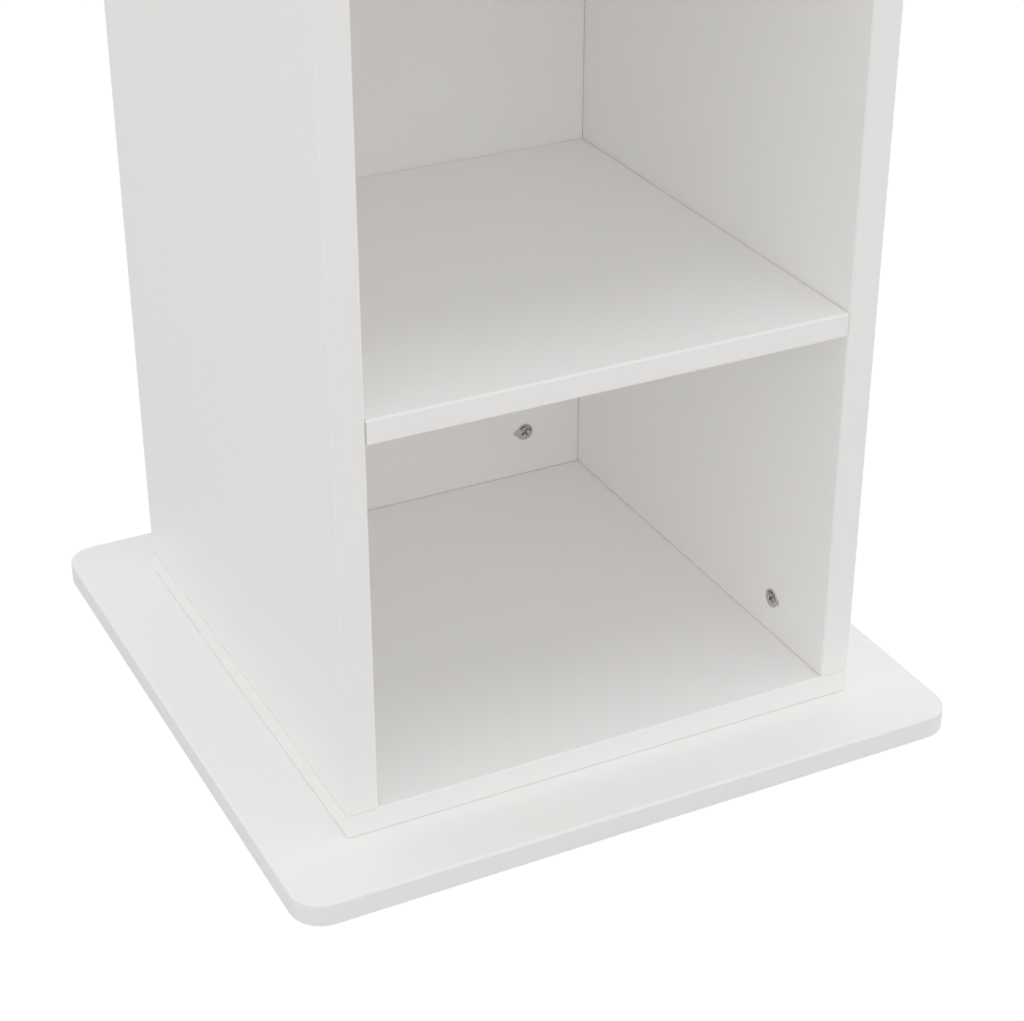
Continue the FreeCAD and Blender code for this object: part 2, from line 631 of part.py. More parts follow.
def make_mirror():
    """A full-height mirror in the recess behind the back panel."""
    body = board("mirror", "mirror_width", "mirror_glass", "mirror_height")
    rims = edges_along(body, "z") + edges_along(body, "x")
    soften(body, "mirror_ground_edges", "mirror_arris", rims, "Chamfer")
    place(body, y="cabinet_depth / 2 - mirror_setback - mirror_glass / 2", z="side_foot + mirror_gap")


def make_mirror_tape():
    """Upright strips of double-sided foam tape between the back panel and the mirror."""
    body = new_body("mirror_tape")
    sketch = new_sketch(body, "tape_plan", "XY")
    half, deep = "tape_width / 2", "tape_thick / 2"
    for middle in ("0 - tape_pitch", "0 * tape_pitch", "tape_pitch"):
        left, right = f"{middle} - {half}", f"{middle} + {half}"
        outline(sketch, ((left, f"0 - {deep}"), (right, f"0 - {deep}"), (right, deep), (left, deep)))
    pad(body, "tape_strips", sketch, "mirror_height - 2 * tape_inset")
    place(body, y="back_face + back_board + tape_thick / 2", z="side_foot + mirror_gap + tape_inset")


# ---------------------------------------------------------------------------------------------------
# Cams, connecting bolts and dowels: one master of each, linked into place
# ---------------------------------------------------------------------------------------------------

def make_cam(lug_side):
    """A cam in its tightened position: Z out of the board's face, the bolt comes in along -Y.  The lug of
    its flange points along X, or along -X where lug_side is -1."""
    name = "cam_right" if lug_side > 0 else "cam_left"
    body = new_body(name + "_master", node=False)
    barrel = new_sketch(body, name + "_barrel_plan", "XY", "0 - cam_length")
    circles(barrel, "cam_size - 2 * cam_fit", CENTRE)
    pad(body, name + "_barrel", barrel, "cam_length")
    flange = new_sketch(body, name + "_flange_plan", "XY")
    circles(flange, "cam_flange_size", CENTRE)
    pad(body, name + "_flange", flange, "cam_flange")
    lug = new_sketch(body, name + "_lug_plan", "XY")
    circles(lug, "cam_lug", ((f"{lug_side} * cam_flange_size / 2", "0"),))
    pad(body, name + "_lug", lug, "cam_flange")
    for turn in (45, 135):
        slot = new_sketch(body, f"{name}_slot_plan_{turn}", "XY", "cam_flange")
        slot.AttachmentOffset = FreeCAD.Placement(Vector(), Rotation(Vector(0, 0, 1), turn))
        rectangle(slot, "cam_slot_length", "cam_slot_width")
        pocket(body, f"{name}_slot_{turn}", slot, "cam_slot_depth + cam_flange")
    window = new_sketch(body, name + "_window_section", "XZ")
    inner, outer = "cam_window_reach - cam_window / 2", "cam_window_reach + cam_window / 2"
    floor, roof = "0 - cam_window_depth", "2 * cam_flange"
    outline(window, ((inner, floor), (outer, floor), (outer, roof), (inner, roof)))
    revolve(body, name + "_window", window, cut=True, angle="cam_window_sweep")
    centre = ("0", "0", "0 - cam_axis_depth")
    towards_joint = Rotation(Vector(1, 0, 0), 90)
    away = Rotation(Vector(1, 0, 0), -90)
    primitive(body, "SubtractiveSphere", name + "_head_room", centre, Radius="bolt_shaft / 2 + cam_running")
    primitive(body, "SubtractiveCylinder", name + "_neck_slot", centre, towards_joint,
              Radius="bolt_neck / 2 + cam_running", Height="cam_size")
    primitive(body, "SubtractiveCylinder", name + "_entry", centre, away,
              Radius="bolt_shaft / 2 + cam_running", Height="cam_size")
    return body


def make_bolt(label, reach):
    """A connecting bolt: the joint is at the XY plane, the head is up at its reach."""
    body = new_body(label, node=False)
    thread, collar = "bolt_thread / 2 - screw_fit", "bolt_collar / 2"
    shaft, neck = "bolt_shaft / 2", "bolt_neck / 2"
    profile = new_sketch(body, label + "_profile", "XZ")
    top = "collar_stand + collar_height"
    shoulder = f"{reach} - cam_size / 2 - hole_end"
    outline(profile, (("0", "0 - bolt_grip"), (thread, "0 - bolt_grip"), (thread, "collar_stand"),
                      (collar, "collar_stand"), (collar, top), (shaft, top),
                      (shaft, f"{shoulder} - hole_end"), (neck, shoulder), (neck, reach), ("0", reach)))
    revolve(body, label + "_turned", profile)
    primitive(body, "AdditiveSphere", label + "_head", ("0", "0", reach), Radius=shaft)
    return body


def make_dowel(label, diameter):
    """A dowel across a joint at the XY plane, its longer end up."""
    body = new_body(label, node=False)
    sketch = new_sketch(body, label + "_plan", "XY", "0 - dowel_grip")
    circles(sketch, f"{diameter} - 2 * dowel_fit", CENTRE)
    pad(body, label + "_rod", sketch, "dowel_grip + dowel_reach")
    ends = edges_at_height(body, -size("dowel_grip")) + edges_at_height(body, size("dowel_reach"))
    soften(body, label + "_ends", "2 * arris", ends, "Chamfer")
    return body


def gather(label, copies):
    """One node of separate pieces: each copy is a master, its turn and its place."""
    links = []
    for number, (master, turn, spot) in enumerate(copies, 1):
        link = doc.addObject("App::Link", f"{label}_{number}")
        link.LinkedObject = master
        link.LinkTransform = False
        link.Placement = FreeCAD.Placement(Vector(), turn)
        place(link, *spot)
        links.append(link)
    group = doc.addObject("Part::Compound", label)
    group.Label = label
    group.Links = links
    NODES.append(group)


UP = Rotation()
DOWN = Rotation(Vector(1, 0, 0), 180)
TO_RIGHT = Rotation(Vector(0, 1, 0), 90)
TO_LEFT = Rotation(Vector(0, 1, 0), -90)


def cam_copy(cams, out, joint, lug, spot):
    """A cam whose face looks along out, whose bolt comes from the joint and whose lug points along lug."""
    along_y = Vector(*joint).negative()
    along_z = Vector(*out)
    along_x = along_y.cross(along_z)
    lug_side = 1 if along_x.dot(Vector(*lug)) > 0 else -1
    return cams[lug_side], Rotation(along_x, along_y, along_z, "YXZ"), spot


def make_carcass_fittings(cams, dowel, slim_dowel):
    """Cams, bolts and dowels between the bottom or top panel and the upright boards."""
    short_bolt = make_bolt("short_bolt_master", "short_reach")
    long_bolt = make_bolt("long_bolt_master", "long_reach")
    for end, joint, beyond, towards, up in (("bottom", "side_foot", "+", (0, 0, -1), UP),
                                            ("top", "side_top", "-", (0, 0, 1), DOWN)):
        cam_copies, bolts, dowels = [], [], []
        for sign, side in (("0 - ", -1), ("", 1)):
            wall, bolt_line = f"{sign}inner_width / 2", f"{sign}side_bolt_line"
            cam_line, dowel_line = f"{sign}back_cam_line", f"{sign}side_dowel_line"
            cam_copies.append(cam_copy(cams, (-side, 0, 0), towards, (0, -1, 0),
                                       (wall, "side_cam_line", f"{joint} {beyond} short_reach")))
            cam_copies.append(cam_copy(cams, (0, -1, 0), towards, (-side, 0, 0),
                                       (cam_line, "back_face", f"{joint} {beyond} long_reach")))
            bolts.append((short_bolt, up, (bolt_line, "side_cam_line", joint)))
            bolts.append((long_bolt, up, (cam_line, "back_bolt_line", joint)))
            dowels.append((dowel, up, (dowel_line, "front_dowel_line", joint)))
            dowels.append((dowel, up, (dowel_line, "rear_dowel_line", joint)))
        dowels.append((slim_dowel, up, ("0", "back_middle", joint)))
        gather(f"{end}_cams", cam_copies)
        gather(f"{end}_connecting_bolts", bolts)
        gather(f"{end}_dowels", dowels)
    return long_bolt


def make_shelf_fittings(cams, bolt, dowel):
    """Cams, bolts and dowels at both ends of every shelf."""
    cam_copies, bolts, dowels = [], [], []
    for number in range(1, int(size("shelf_count")) + 1):
        underside = f"side_foot + {number} * shelf_pitch - shelf_board"
        for sign, side, inwards in (("0 - ", -1, TO_RIGHT), ("", 1, TO_LEFT)):
            wall = f"{sign}inner_width / 2"
            for line in ("shelf_front_cam", "shelf_rear_cam"):
                cam_copies.append(cam_copy(cams, (0, 0, -1), (side, 0, 0), (0, -1, 0),
                                           (f"{sign}shelf_cam_line", line, underside)))
                bolts.append((bolt, inwards, (wall, line, f"{underside} + cam_axis_depth")))
            dowels.append((dowel, inwards, (wall, "shelf_dowel_line", f"{underside} + shelf_board / 2")))
    gather("shelf_cams", cam_copies)
    gather("shelf_connecting_bolts", bolts)
    gather("shelf_dowels", dowels)


def make_back_dowels(slim_dowel):
    """Dowels up both edges of the back panel, into the side panels."""
    dowels = []
    for row in range(int(size("back_dowel_rows"))):
        height = f"side_foot + ({row} + 0.5) * back_dowel_pitch"
        for sign, inwards in (("0 - ", TO_RIGHT), ("", TO_LEFT)):
            dowels.append((slim_dowel, inwards, (f"{sign}inner_width / 2", "back_middle", height)))
    gather("back_panel_dowels", dowels)


# ---------------------------------------------------------------------------------------------------
# Build, check and write
# ---------------------------------------------------------------------------------------------------

def check_document():
    """Stop at any failed object or bad shape."""
    doc.recompute()
    for item in doc.Objects:
        if "Invalid" in item.State or "Error" in item.State:
            raise RuntimeError(f"{item.Label} failed: {item.State}")
    for node in NODES:
        if node.Shape.isNull() or not node.Shape.isValid() or not node.Shape.Solids:
            raise RuntimeError(f"{node.Label} has no valid solid")


def write_parts():
    os.makedirs("parts", exist_ok=True)
    for node in NODES:
        node.Shape.exportStep(f"parts/{node.Label}.step")
        print(f"{node.Label}: {len(node.Shape.Solids)} solids, {node.Shape.Volume / 1000:.1f} cm3")


make_base_plate()
make_floor_glides()
make_turntable_rings()
make_ring_screws("lower_ring_screws", "lower_screw_circle", point_down=True)
make_ring_screws("upper_ring_screws", "upper_screw_circle", point_down=False)
make_balls()
make_ball_cage()
make_bottom_panel()
make_side_panel("left_side_panel", -1)
make_side_panel("right_side_panel", 1)
make_back_panel()
make_top_panel()
for shelf_number in range(1, int(size("shelf_count")) + 1):
    make_shelf(shelf_number)
make_mirror()
make_mirror_tape()
cam_masters = {side: make_cam(side) for side in (-1, 1)}
dowel_master = make_dowel("dowel_master", "dowel_size")
slim_dowel_master = make_dowel("slim_dowel_master", "slim_dowel_size")
bolt_master = make_carcass_fittings(cam_masters, dowel_master, slim_dowel_master)
make_shelf_fittings(cam_masters, bolt_master, dowel_master)
make_back_dowels(slim_dowel_master)
check_document()
write_parts()
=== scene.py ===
import math

import bmesh
import bpy
from bpy.props import FloatProperty, FloatVectorProperty, IntProperty, PointerProperty
from mathutils import Matrix, Vector


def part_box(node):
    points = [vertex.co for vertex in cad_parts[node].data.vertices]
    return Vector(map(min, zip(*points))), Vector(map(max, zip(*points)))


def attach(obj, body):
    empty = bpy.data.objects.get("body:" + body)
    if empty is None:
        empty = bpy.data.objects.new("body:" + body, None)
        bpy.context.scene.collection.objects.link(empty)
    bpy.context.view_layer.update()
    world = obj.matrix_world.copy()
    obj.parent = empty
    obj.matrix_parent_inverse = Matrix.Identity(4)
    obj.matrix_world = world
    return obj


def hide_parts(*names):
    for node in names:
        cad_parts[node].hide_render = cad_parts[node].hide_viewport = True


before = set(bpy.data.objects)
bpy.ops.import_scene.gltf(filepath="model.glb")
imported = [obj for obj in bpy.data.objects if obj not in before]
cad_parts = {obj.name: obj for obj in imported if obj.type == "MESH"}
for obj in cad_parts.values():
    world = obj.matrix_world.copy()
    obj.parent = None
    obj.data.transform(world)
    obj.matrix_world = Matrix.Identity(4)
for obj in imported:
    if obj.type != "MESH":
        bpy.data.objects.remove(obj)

bl_info = {
    "name": "Revolving Wardrobe Cabinet",
    "version": (1, 0, 0),
    "blender": (4, 5, 0),
    "location": "3D View > Sidebar > Cabinet",
    "description": "Finishes, fittings and studio for a cabinet of open shelves that turns on its base",
    "category": "Add Mesh",
}

MM = 0.001
UP = Vector((0, 0, 1))
WELD = 0.001 * MM     # corners closer than this are one
FLUSH = 0.05 * MM     # two faces closer than this are level
FAR = 10.0            # further than any piece reaches
SHARP = math.radians(30)

# Sizes of boards and joinery that the frame's boxes don't give
BASE_CORNER = 20 * MM
FOIL_SKIN = 0.6 * MM  # what is cut deeper than this shows the core
BEVEL = 0.6 * MM      # widest bevel on an edge where boards meet
LINE_SHADE = (0.9, 0.9, 0.89, 1)  # what the hairline along a board's band leaves of the white
CAM_BARREL = 11.8 * MM
CAM_FLANGE = 12.4 * MM
CAM_FLANGE_THICK = 0.6 * MM
CAM_LUG = 4.4 * MM
CAM_SLOT = (6.4 * MM, 1.4 * MM, 2.2 * MM)
CAM_WINDOW = (3.7 * MM, 5.1 * MM, 1.2 * MM)
CAM_WINDOW_SWEEP = math.radians(140)
CAM_FOLD = math.radians(40)  # an edge of its face that folds more is rounded
CAM_SIDES = 96
CAM_ROOM_SIDES = 31   # odd, so that its corners miss the cam's own
BOLT_AXIS = 6 * MM
BOLT_ROOM = 3.2 * MM
NECK_ROOM = 2.2 * MM
BOLT_GRIP = 10.5 * MM
BOLT_THREAD = 4.9 * MM
BOLT_COLLAR = (7 * MM, 0.2 * MM, 2 * MM)
BOLT_HEAD = 5.8 * MM
BOLT_NECK = 3.8 * MM
BOLT_SHOULDER = 6.5 * MM
BOLT_SLOPE = 0.5 * MM
BOLT_TIP = 0.6 * MM
SCREW_SHANK = 3.5 * MM
SCREW_CROSS = (3.5 * MM, 0.9 * MM, 1.2 * MM)
SCREW_POINT = (0.25, 0.5, 0.75)
SCREW_RUN_OUT = 0.4 * MM
SCREW_RIM = 0.1 * MM
THREAD_FLANK = 2.2    # steepness of the groove; 1 is a plain V from crest to crest
THREAD_ROWS = 8       # rows of corners to a turn
DOWEL_CHAMFER = 1 * MM
GLIDE_RINGS = (0.22, 0.46, 0.70)
GLIDE_EDGE = 0.5 * MM
TURNED_SIDES = 20     # around a small turned piece


# ---------- Places worked out from the frame ----------

def low(node):
    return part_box(node)[0]


def high(node):
    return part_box(node)[1]


def solids(node):
    """The lowest and highest corner of each separate solid in a CAD node."""
    shape = bmesh.new()
    shape.from_mesh(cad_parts[node].data)
    bmesh.ops.remove_doubles(shape, verts=shape.verts, dist=WELD)
    waiting = set(shape.verts)
    boxes = []
    while waiting:
        solid = [waiting.pop()]
        for vertex in solid:
            near = {edge.other_vert(vertex) for edge in vertex.link_edges} & waiting
            waiting -= near
            solid.extend(near)
        sides = [[vertex.co[axis] for vertex in solid] for axis in range(3)]
        boxes.append((Vector(map(min, sides)), Vector(map(max, sides))))
    shape.free()
    return sorted(boxes, key=lambda box: [round(box[0][axis] / MM, 2) for axis in (2, 0, 1)])


def width_and_height(box):
    return box[1].x - box[0].x, box[1].z - box[0].z


def inwards(box, axis):
    """The direction along X or Y from a solid towards the turning axis."""
    step = Vector()
    step[axis] = -1 if box[0][axis] + box[1][axis] > 0 else 1
    return step


# ---------- Sizes and colours that a user would change ----------

def linear(code):
    """An sRGB hex code as linear red, green, blue and alpha."""
    channels = [int(code[place:place + 2], 16) / 255 for place in (1, 3, 5)]
    return [c / 12.92 if c <= 0.04045 else ((c + 0.055) / 1.055) ** 2.4 for c in channels] + [1.0]


def colour(name, description, code):
    return FloatVectorProperty(name=name, description=description, subtype="COLOR", size=4,
                               min=0, max=1, default=linear(code))


def length(name, description, metres):
    return FloatProperty(name=name, description=description, unit="LENGTH", precision=5,
                         min=0, default=metres)


def strength(name, description, amount):
    return FloatProperty(name=name, description=description, min=0, default=amount)


def chosen(group):
    """The user's finishes, fittings or studio, as the panel shows them."""
    return getattr(bpy.context.scene, "cabinet_" + group)


class CabinetFinishes(bpy.types.PropertyGroup):
    foil: colour("White foil", "Foil on the faces of every board, and the band on its edges", "#FBFBFA")
    warm_foil: colour("Warmer foil", "What the foil's white drifts to and back over a board", "#FBFAFA")
    # the grey of the narrow bevels where boards meet is partly the foil's cut edge and partly painted
    # shade for the shadow in the joint
    seam: colour("Foil's cut edge and painted joint shade", "Narrow bevels where one board meets another", "#D3D1CE")
    core: colour("Board core", "Particle board where a recess or a hole is cut", "#C9B08A")
    core_chip: colour("Core chips", "Darker chips in the particle board", "#A3855C")
    zinc: colour("Die-cast zinc", "Cams", "#CBC9C4")
    aluminium: colour("Turned aluminium", "Rings of the turntable", "#C9CBCC")
    steel: colour("Zinc-plated steel", "Screws and connecting bolts", "#BFC2C6")
    ball_steel: colour("Bearing steel", "Balls", "#C4C5C6")
    nylon: colour("Natural nylon", "Ball cage", "#E4E0D2")
    beech: colour("Beech", "Dowels", "#DCC09A")
    beech_fleck: colour("Beech fleck", "Short dark rays in the beech", "#B58C61")
    silver: colour("Silvered glass", "Face of the mirror", "#DDE0E0")
    glass_edge: colour("Glass edge", "Ground edge of the mirror", "#7FA596")
    foam: colour("Closed-cell foam", "Mounting tape of the mirror", "#DCDBD6")
    rubber: colour("Glide rubber", "Floor glides", "#5B5C5E")
    floor: colour("Studio floor", "What the pale floor throws back", "#D5D5D4")


class CabinetFittings(bpy.types.PropertyGroup):
    edge_band: length("Edge band", "Thickness of the band on the boards' front edges", 2 * MM)
    ball_sides: IntProperty(name="Ball sides", description="Segments around a ball", min=8, default=24)
    thread_pitch: length("Thread pitch", "Pitch of the screws' and bolts' threads", 1.6 * MM)
    thread_depth: length("Thread depth", "Depth of the threads", 0.45 * MM)
    dowel_flutes: IntProperty(name="Flutes", description="Grooves along a dowel", min=6, default=20)
    flute_depth: length("Flute depth", "Depth of a dowel's grooves", 0.3 * MM)
    casting_edge: length("Casting edge", "Rounding of the edges of a die-cast cam", 0.12 * MM)
    glide_tread: length("Glide tread", "Depth of the moulded rings under a glide", 0.4 * MM)


class CabinetStudio(bpy.types.PropertyGroup):
    camera_place: FloatVectorProperty(name="Camera", description="Place of the camera",
                                      subtype="TRANSLATION", unit="LENGTH", size=3,
                                      default=(-0.55904, -1.14906, 0.82299))
    camera_tilt: FloatProperty(name="Tilt", description="Angle of the view below the horizon",
                               subtype="ANGLE", default=math.radians(29.31))
    camera_turn: FloatProperty(name="Turn", description="Heading of the view, clockwise from +Y",
                               subtype="ANGLE", default=math.radians(26.747))
    focal_length: FloatProperty(name="Focal length", description="Focal length in millimetres",
                                unit="CAMERA", default=80.431)
    light_colour: colour("Light", "Colour of the sky and the softboxes", "#FFFEFD")
    sky_top: strength("Sky overhead", "Brightness of the studio's ceiling", 0.32)
    sky_middle: strength("Sky halfway", "Brightness of the studio halfway up", 1.045)
    sky_foot: strength("Sky at the horizon", "Brightness of the studio's walls", 0.79)
    softbox_over: strength("Overhead softbox", "Watts of the large softbox high overhead", 467.0)
    softbox_left: strength("Left softbox", "Watts of the softbox on the left", 5.7)
    softbox_right: strength("Right softbox", "Watts of the softbox on the right", 9.6)
    white_ground: strength("White ground", "Brightness at which floor and backdrop are seen", 1.02)
    floor_reach: length("Floor", "Radius of the floor", 12.0)


# ---------- Helpers: nodes, trees, meshes, pieces ----------

def add(tree, kind, inputs=None, **settings):
    """Add a node with its settings, and feed its inputs."""
    node = tree.nodes.new(kind)
    for name, value in settings.items():
        setattr(node, name, value)
    feed(tree, node, inputs or {})
    return node


def feed(tree, node, inputs):
    """Set a node's inputs, by name or number, to values, or link them to sockets or other nodes."""
    for name, value in inputs.items():
        socket = node.inputs[name] if isinstance(name, int) else next(
            socket for socket in node.inputs if socket.name == name and socket.enabled)
        if isinstance(value, bpy.types.Node):
            value = next(output for output in value.outputs if output.enabled)
        if isinstance(value, bpy.types.NodeSocket):
            tree.links.new(value, socket)
        else:
            socket.default_value = value


def new_tree(name, **sockets):
    """A geometry tree with named inputs, and its geometry output."""
    tree = bpy.data.node_groups.new(name, "GeometryNodeTree")
    for label, kind in sockets.items():
        tree.interface.new_socket(label, in_out="INPUT", socket_type="NodeSocket" + kind)
    tree.interface.new_socket("Result", in_out="OUTPUT", socket_type="NodeSocketGeometry")
    return tree, add(tree, "NodeGroupInput").outputs


def with_tree(piece, tree, **values):
    """Give a piece a tree, and the tree its inputs, each by the identifier of its socket."""
    modifier = piece.modifiers.new(tree.name, "NODES")
    modifier.node_group = tree
    for item in tree.interface.items_tree:
        if item.name in values:
            modifier[item.identifier] = values[item.name]


def new_object(name, mesh):
    piece = bpy.data.objects.new(name, mesh)
    bpy.context.scene.collection.objects.link(piece)
    return piece


def plain_mesh(piece, tools=()):
    """The mesh of a piece with its modifiers applied; the piece and its tools are cleared away."""
    bpy.context.view_layer.update()
    graph = bpy.context.evaluated_depsgraph_get()
    mesh = bpy.data.meshes.new_from_object(piece.evaluated_get(graph), depsgraph=graph)
    for spent in (piece, *tools):
        bpy.data.objects.remove(spent)
    return mesh


def from_bmesh(name, shape):
    """A smooth mesh with its edges over 30 degrees sharp."""
    bmesh.ops.recalc_face_normals(shape, faces=shape.faces)
    mesh = bpy.data.meshes.new(name)
    shape.to_mesh(mesh)
    shape.free()
    mesh.shade_smooth()
    mesh.set_sharp_from_angle(angle=SHARP)
    return mesh


def set_in_frame(mesh, body, node):
    """Show a finished mesh as a piece that rides on a body and stands for a CAD node."""
    mesh.name = node + "_piece"
    piece = new_object(mesh.name, mesh)
    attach(piece, body)
    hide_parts(node)
    return piece


# ---------- Shapes ----------

def turned(name, outline, around, groove=lambda height, angle: 0):
    """A solid turned about Z from (radius, height) pairs that start and end on the axis, cut in by
    groove(height, angle)."""
    shape = bmesh.new()
    rings = []
    for radius, height in outline:
        ring = []
        for step in range(around if radius else 1):
            angle = 2 * math.pi * step / around
            reach = radius - groove(height, angle) if radius else 0
            ring.append(shape.verts.new((reach * math.cos(angle), reach * math.sin(angle), height)))
        rings.append(ring)
    for lower, upper in zip(rings, rings[1:]):
        for step in range(around):
            after = (step + 1) % around
            corners = [lower[step % len(lower)], lower[after % len(lower)],
                       upper[after % len(upper)], upper[step % len(upper)]]
            shape.faces.new(dict.fromkeys(corners))
    return from_bmesh(name, shape)


def block(width, depth, bottom, top, turn=0.0):
    """A block about Z, as a tool for cutting."""
    shape = bmesh.new()
    size = Matrix.Diagonal((width, depth, top - bottom, 1))
    place = Matrix.Translation((0, 0, (bottom + top) / 2)) @ Matrix.Rotation(turn, 4, "Z") @ size
    bmesh.ops.create_cube(shape, size=1, matrix=place)
    return from_bmesh("block", shape)


def curved_block(inner, outer, sweep, bottom, top, steps=18):
    """A block bent about Z, from the X axis through the sweep, as a tool for cutting."""
    shape = bmesh.new()
    sections = []
    for step in range(steps + 1):
        angle = sweep * step / steps
        corners = ((inner, bottom), (outer, bottom), (outer, top), (inner, top))
        sections.append([shape.verts.new((reach * math.cos(angle), reach * math.sin(angle), height))
                         for reach, height in corners])
    for near, far in zip(sections, sections[1:]):
        for side in range(4):
            after = (side + 1) % 4
            shape.faces.new((near[side], near[after], far[after], far[side]))
    shape.faces.new(sections[0])
    shape.faces.new(sections[-1])
    return from_bmesh("curved_block", shape)


def cut_out(blank, *tools):
    """The blank with the tools cut out of it."""
    piece = new_object("blank", blank)
    cutters = [new_object("tool", tool) for tool in tools]
    for cutter in cutters:
        cut = piece.modifiers.new("cut", "BOOLEAN")
        cut.operation = "DIFFERENCE"
        cut.solver = "EXACT"
        cut.object = cutter
    return plain_mesh(piece, cutters)


def thread(bottom, top):
    """The groove of a coarse thread between two heights, running out at both ends."""
    fittings = chosen("fittings")
    pitch, depth = fittings.thread_pitch, fittings.thread_depth

    def groove(height, angle):
        along = (height / pitch - angle / (2 * math.pi)) % 1
        run_out = min(1, max(0, (height - bottom) / pitch), max(0, (top - height) / pitch))
        return depth * run_out * min(1, THREAD_FLANK * (1 - abs(2 * along - 1)))
    return groove


def stepped(radius, bottom, top):
    """Pairs of an outline up a straight run, close enough for its thread."""
    rows = math.ceil((top - bottom) / chosen("fittings").thread_pitch * THREAD_ROWS)
    return [(radius, bottom + (top - bottom) * row / rows) for row in range(rows + 1)]


def cam_master(lug_side, barrel):
    """A cam as the die gives it: flanged barrel with a lug, a cross to turn it by, a curved recess
    beside the cross, and the bolt's way in.  Z looks out of the board; the bolt comes in along -Y."""
    edge = chosen("fittings").casting_edge
    face, rim, lug = CAM_FLANGE_THICK, CAM_FLANGE / 2, CAM_LUG / 2

    def drawn_in(height, angle):
        """Minus how far the lug, a disc centred on the flange's rim, stands out of it."""
        across, along = rim * math.sin(angle), rim * math.cos(angle) * lug_side
        if height < 0 or along < 0 or abs(across) > lug:
            return 0
        return min(0, rim - along - math.sqrt(lug * lug - across * across))

    outline = [(0, -barrel), (CAM_BARREL / 2 - edge, -barrel), (CAM_BARREL / 2, edge - barrel),
               (CAM_BARREL / 2, -WELD), (rim, 0), (rim, face), (0, face)]
    blank = turned("cam", outline, CAM_SIDES, drawn_in)
    long_side, short_side, slot_depth = CAM_SLOT
    slots = [block(long_side, short_side, -slot_depth, 2 * face, math.radians(turn))
             for turn in (45, 135)]
    inner, outer, window_depth = CAM_WINDOW
    window = curved_block(inner, outer, CAM_WINDOW_SWEEP, -window_depth, 2 * face)
    room = [(BOLT_ROOM * math.sin(step * math.pi / 16), -BOLT_ROOM * math.cos(step * math.pi / 16))
            for step in range(1, 9)]
    head_way = turned("head_way", [(0, -BOLT_ROOM)] + room + [(BOLT_ROOM, CAM_FLANGE), (0, CAM_FLANGE)],
                      CAM_ROOM_SIDES)
    neck_way = turned("neck_way", [(0, 0), (NECK_ROOM, 0), (NECK_ROOM, CAM_FLANGE), (0, CAM_FLANGE)],
                      CAM_ROOM_SIDES)
    sink = Matrix.Translation((0, 0, -BOLT_AXIS))
    neck_way.transform(sink @ Matrix.Rotation(math.pi / 2, 4, "X"))
    head_way.transform(sink @ Matrix.Rotation(-math.pi / 2, 4, "X"))
    cast = cut_out(blank, *slots, window, neck_way, head_way)
    shape = bmesh.new()
    shape.from_mesh(cast)
    bmesh.ops.remove_doubles(shape, verts=shape.verts, dist=WELD)
    rims = [e for e in shape.edges if e.is_manifold and e.calc_face_angle() > CAM_FOLD
            and min(vertex.co.z for vertex in e.verts) > face - FLUSH]
    bmesh.ops.bevel(shape, geom=rims, offset=edge, segments=2, profile=0.5, affect="EDGES",
                    clamp_overlap=True)
    return from_bmesh("cam_master", shape)


def bolt_master(reach):
    """A connecting bolt: threaded end, collar, shaft, neck and ball head.  The joint is at height 0."""
    collar, collar_foot, collar_top = BOLT_COLLAR
    head, neck = BOLT_HEAD / 2, BOLT_NECK / 2
    shoulder = reach - BOLT_SHOULDER
    outline = [(0, -BOLT_GRIP), (BOLT_THREAD / 2 - BOLT_TIP, -BOLT_GRIP)]
    outline += stepped(BOLT_THREAD / 2, -BOLT_GRIP + BOLT_TIP, collar_foot)
    outline += [(collar / 2, collar_foot), (collar / 2, collar_top), (head, collar_top),
                (head, shoulder - BOLT_SLOPE), (neck, shoulder)]
    start = math.asin(neck / head)
    outline += [(head * math.sin(start + (math.pi - start) * step / 12),
                 reach - head * math.cos(start + (math.pi - start) * step / 12)) for step in range(12)]
    return turned("bolt_master", outline + [(0, reach + head)], TURNED_SIDES,
                  thread(-BOLT_GRIP + BOLT_TIP, collar_foot))


def screw_master(head_size, reach):
    """A countersunk screw with a cross recess.  The head's face is at height 0 and the point is down."""
    shank, head = SCREW_SHANK / 2, head_size / 2
    neck, point = shank - head - SCREW_RUN_OUT, 2 * shank - reach
    outline = [(0, -reach)] + [(shank * part, -reach + (reach + point) * part) for part in SCREW_POINT]
    outline += stepped(shank, point, neck)
    outline += [(shank, shank - head), (head - SCREW_RIM, -SCREW_RIM), (head - SCREW_RIM, 0), (0, 0)]
    long_side, short_side, depth = SCREW_CROSS
    cross = [block(long_side, short_side, -depth, depth, turn) for turn in (0, math.pi / 2)]
    return cut_out(turned("screw_master", outline, TURNED_SIDES, thread(point, neck)), *cross)


def dowel_master(size, reach):
    """A fluted dowel along Z, pointed a little at both ends, about its middle."""
    fittings = chosen("fittings")
    count, depth = fittings.dowel_flutes, fittings.flute_depth
    radius, half, chamfer = size / 2, reach / 2, DOWEL_CHAMFER
    outline = [(0, -half), (radius - chamfer, -half), (radius, chamfer - half),
               (radius, 2 * chamfer - half), (radius, half - 2 * chamfer), (radius, half - chamfer),
               (radius - chamfer, half), (0, half)]

    def flute(height, angle):
        return depth * (1 - math.cos(count * angle)) / 2 if abs(height) < half - 0.5 * chamfer else 0
    return turned("dowel_master", outline, 4 * count, flute)


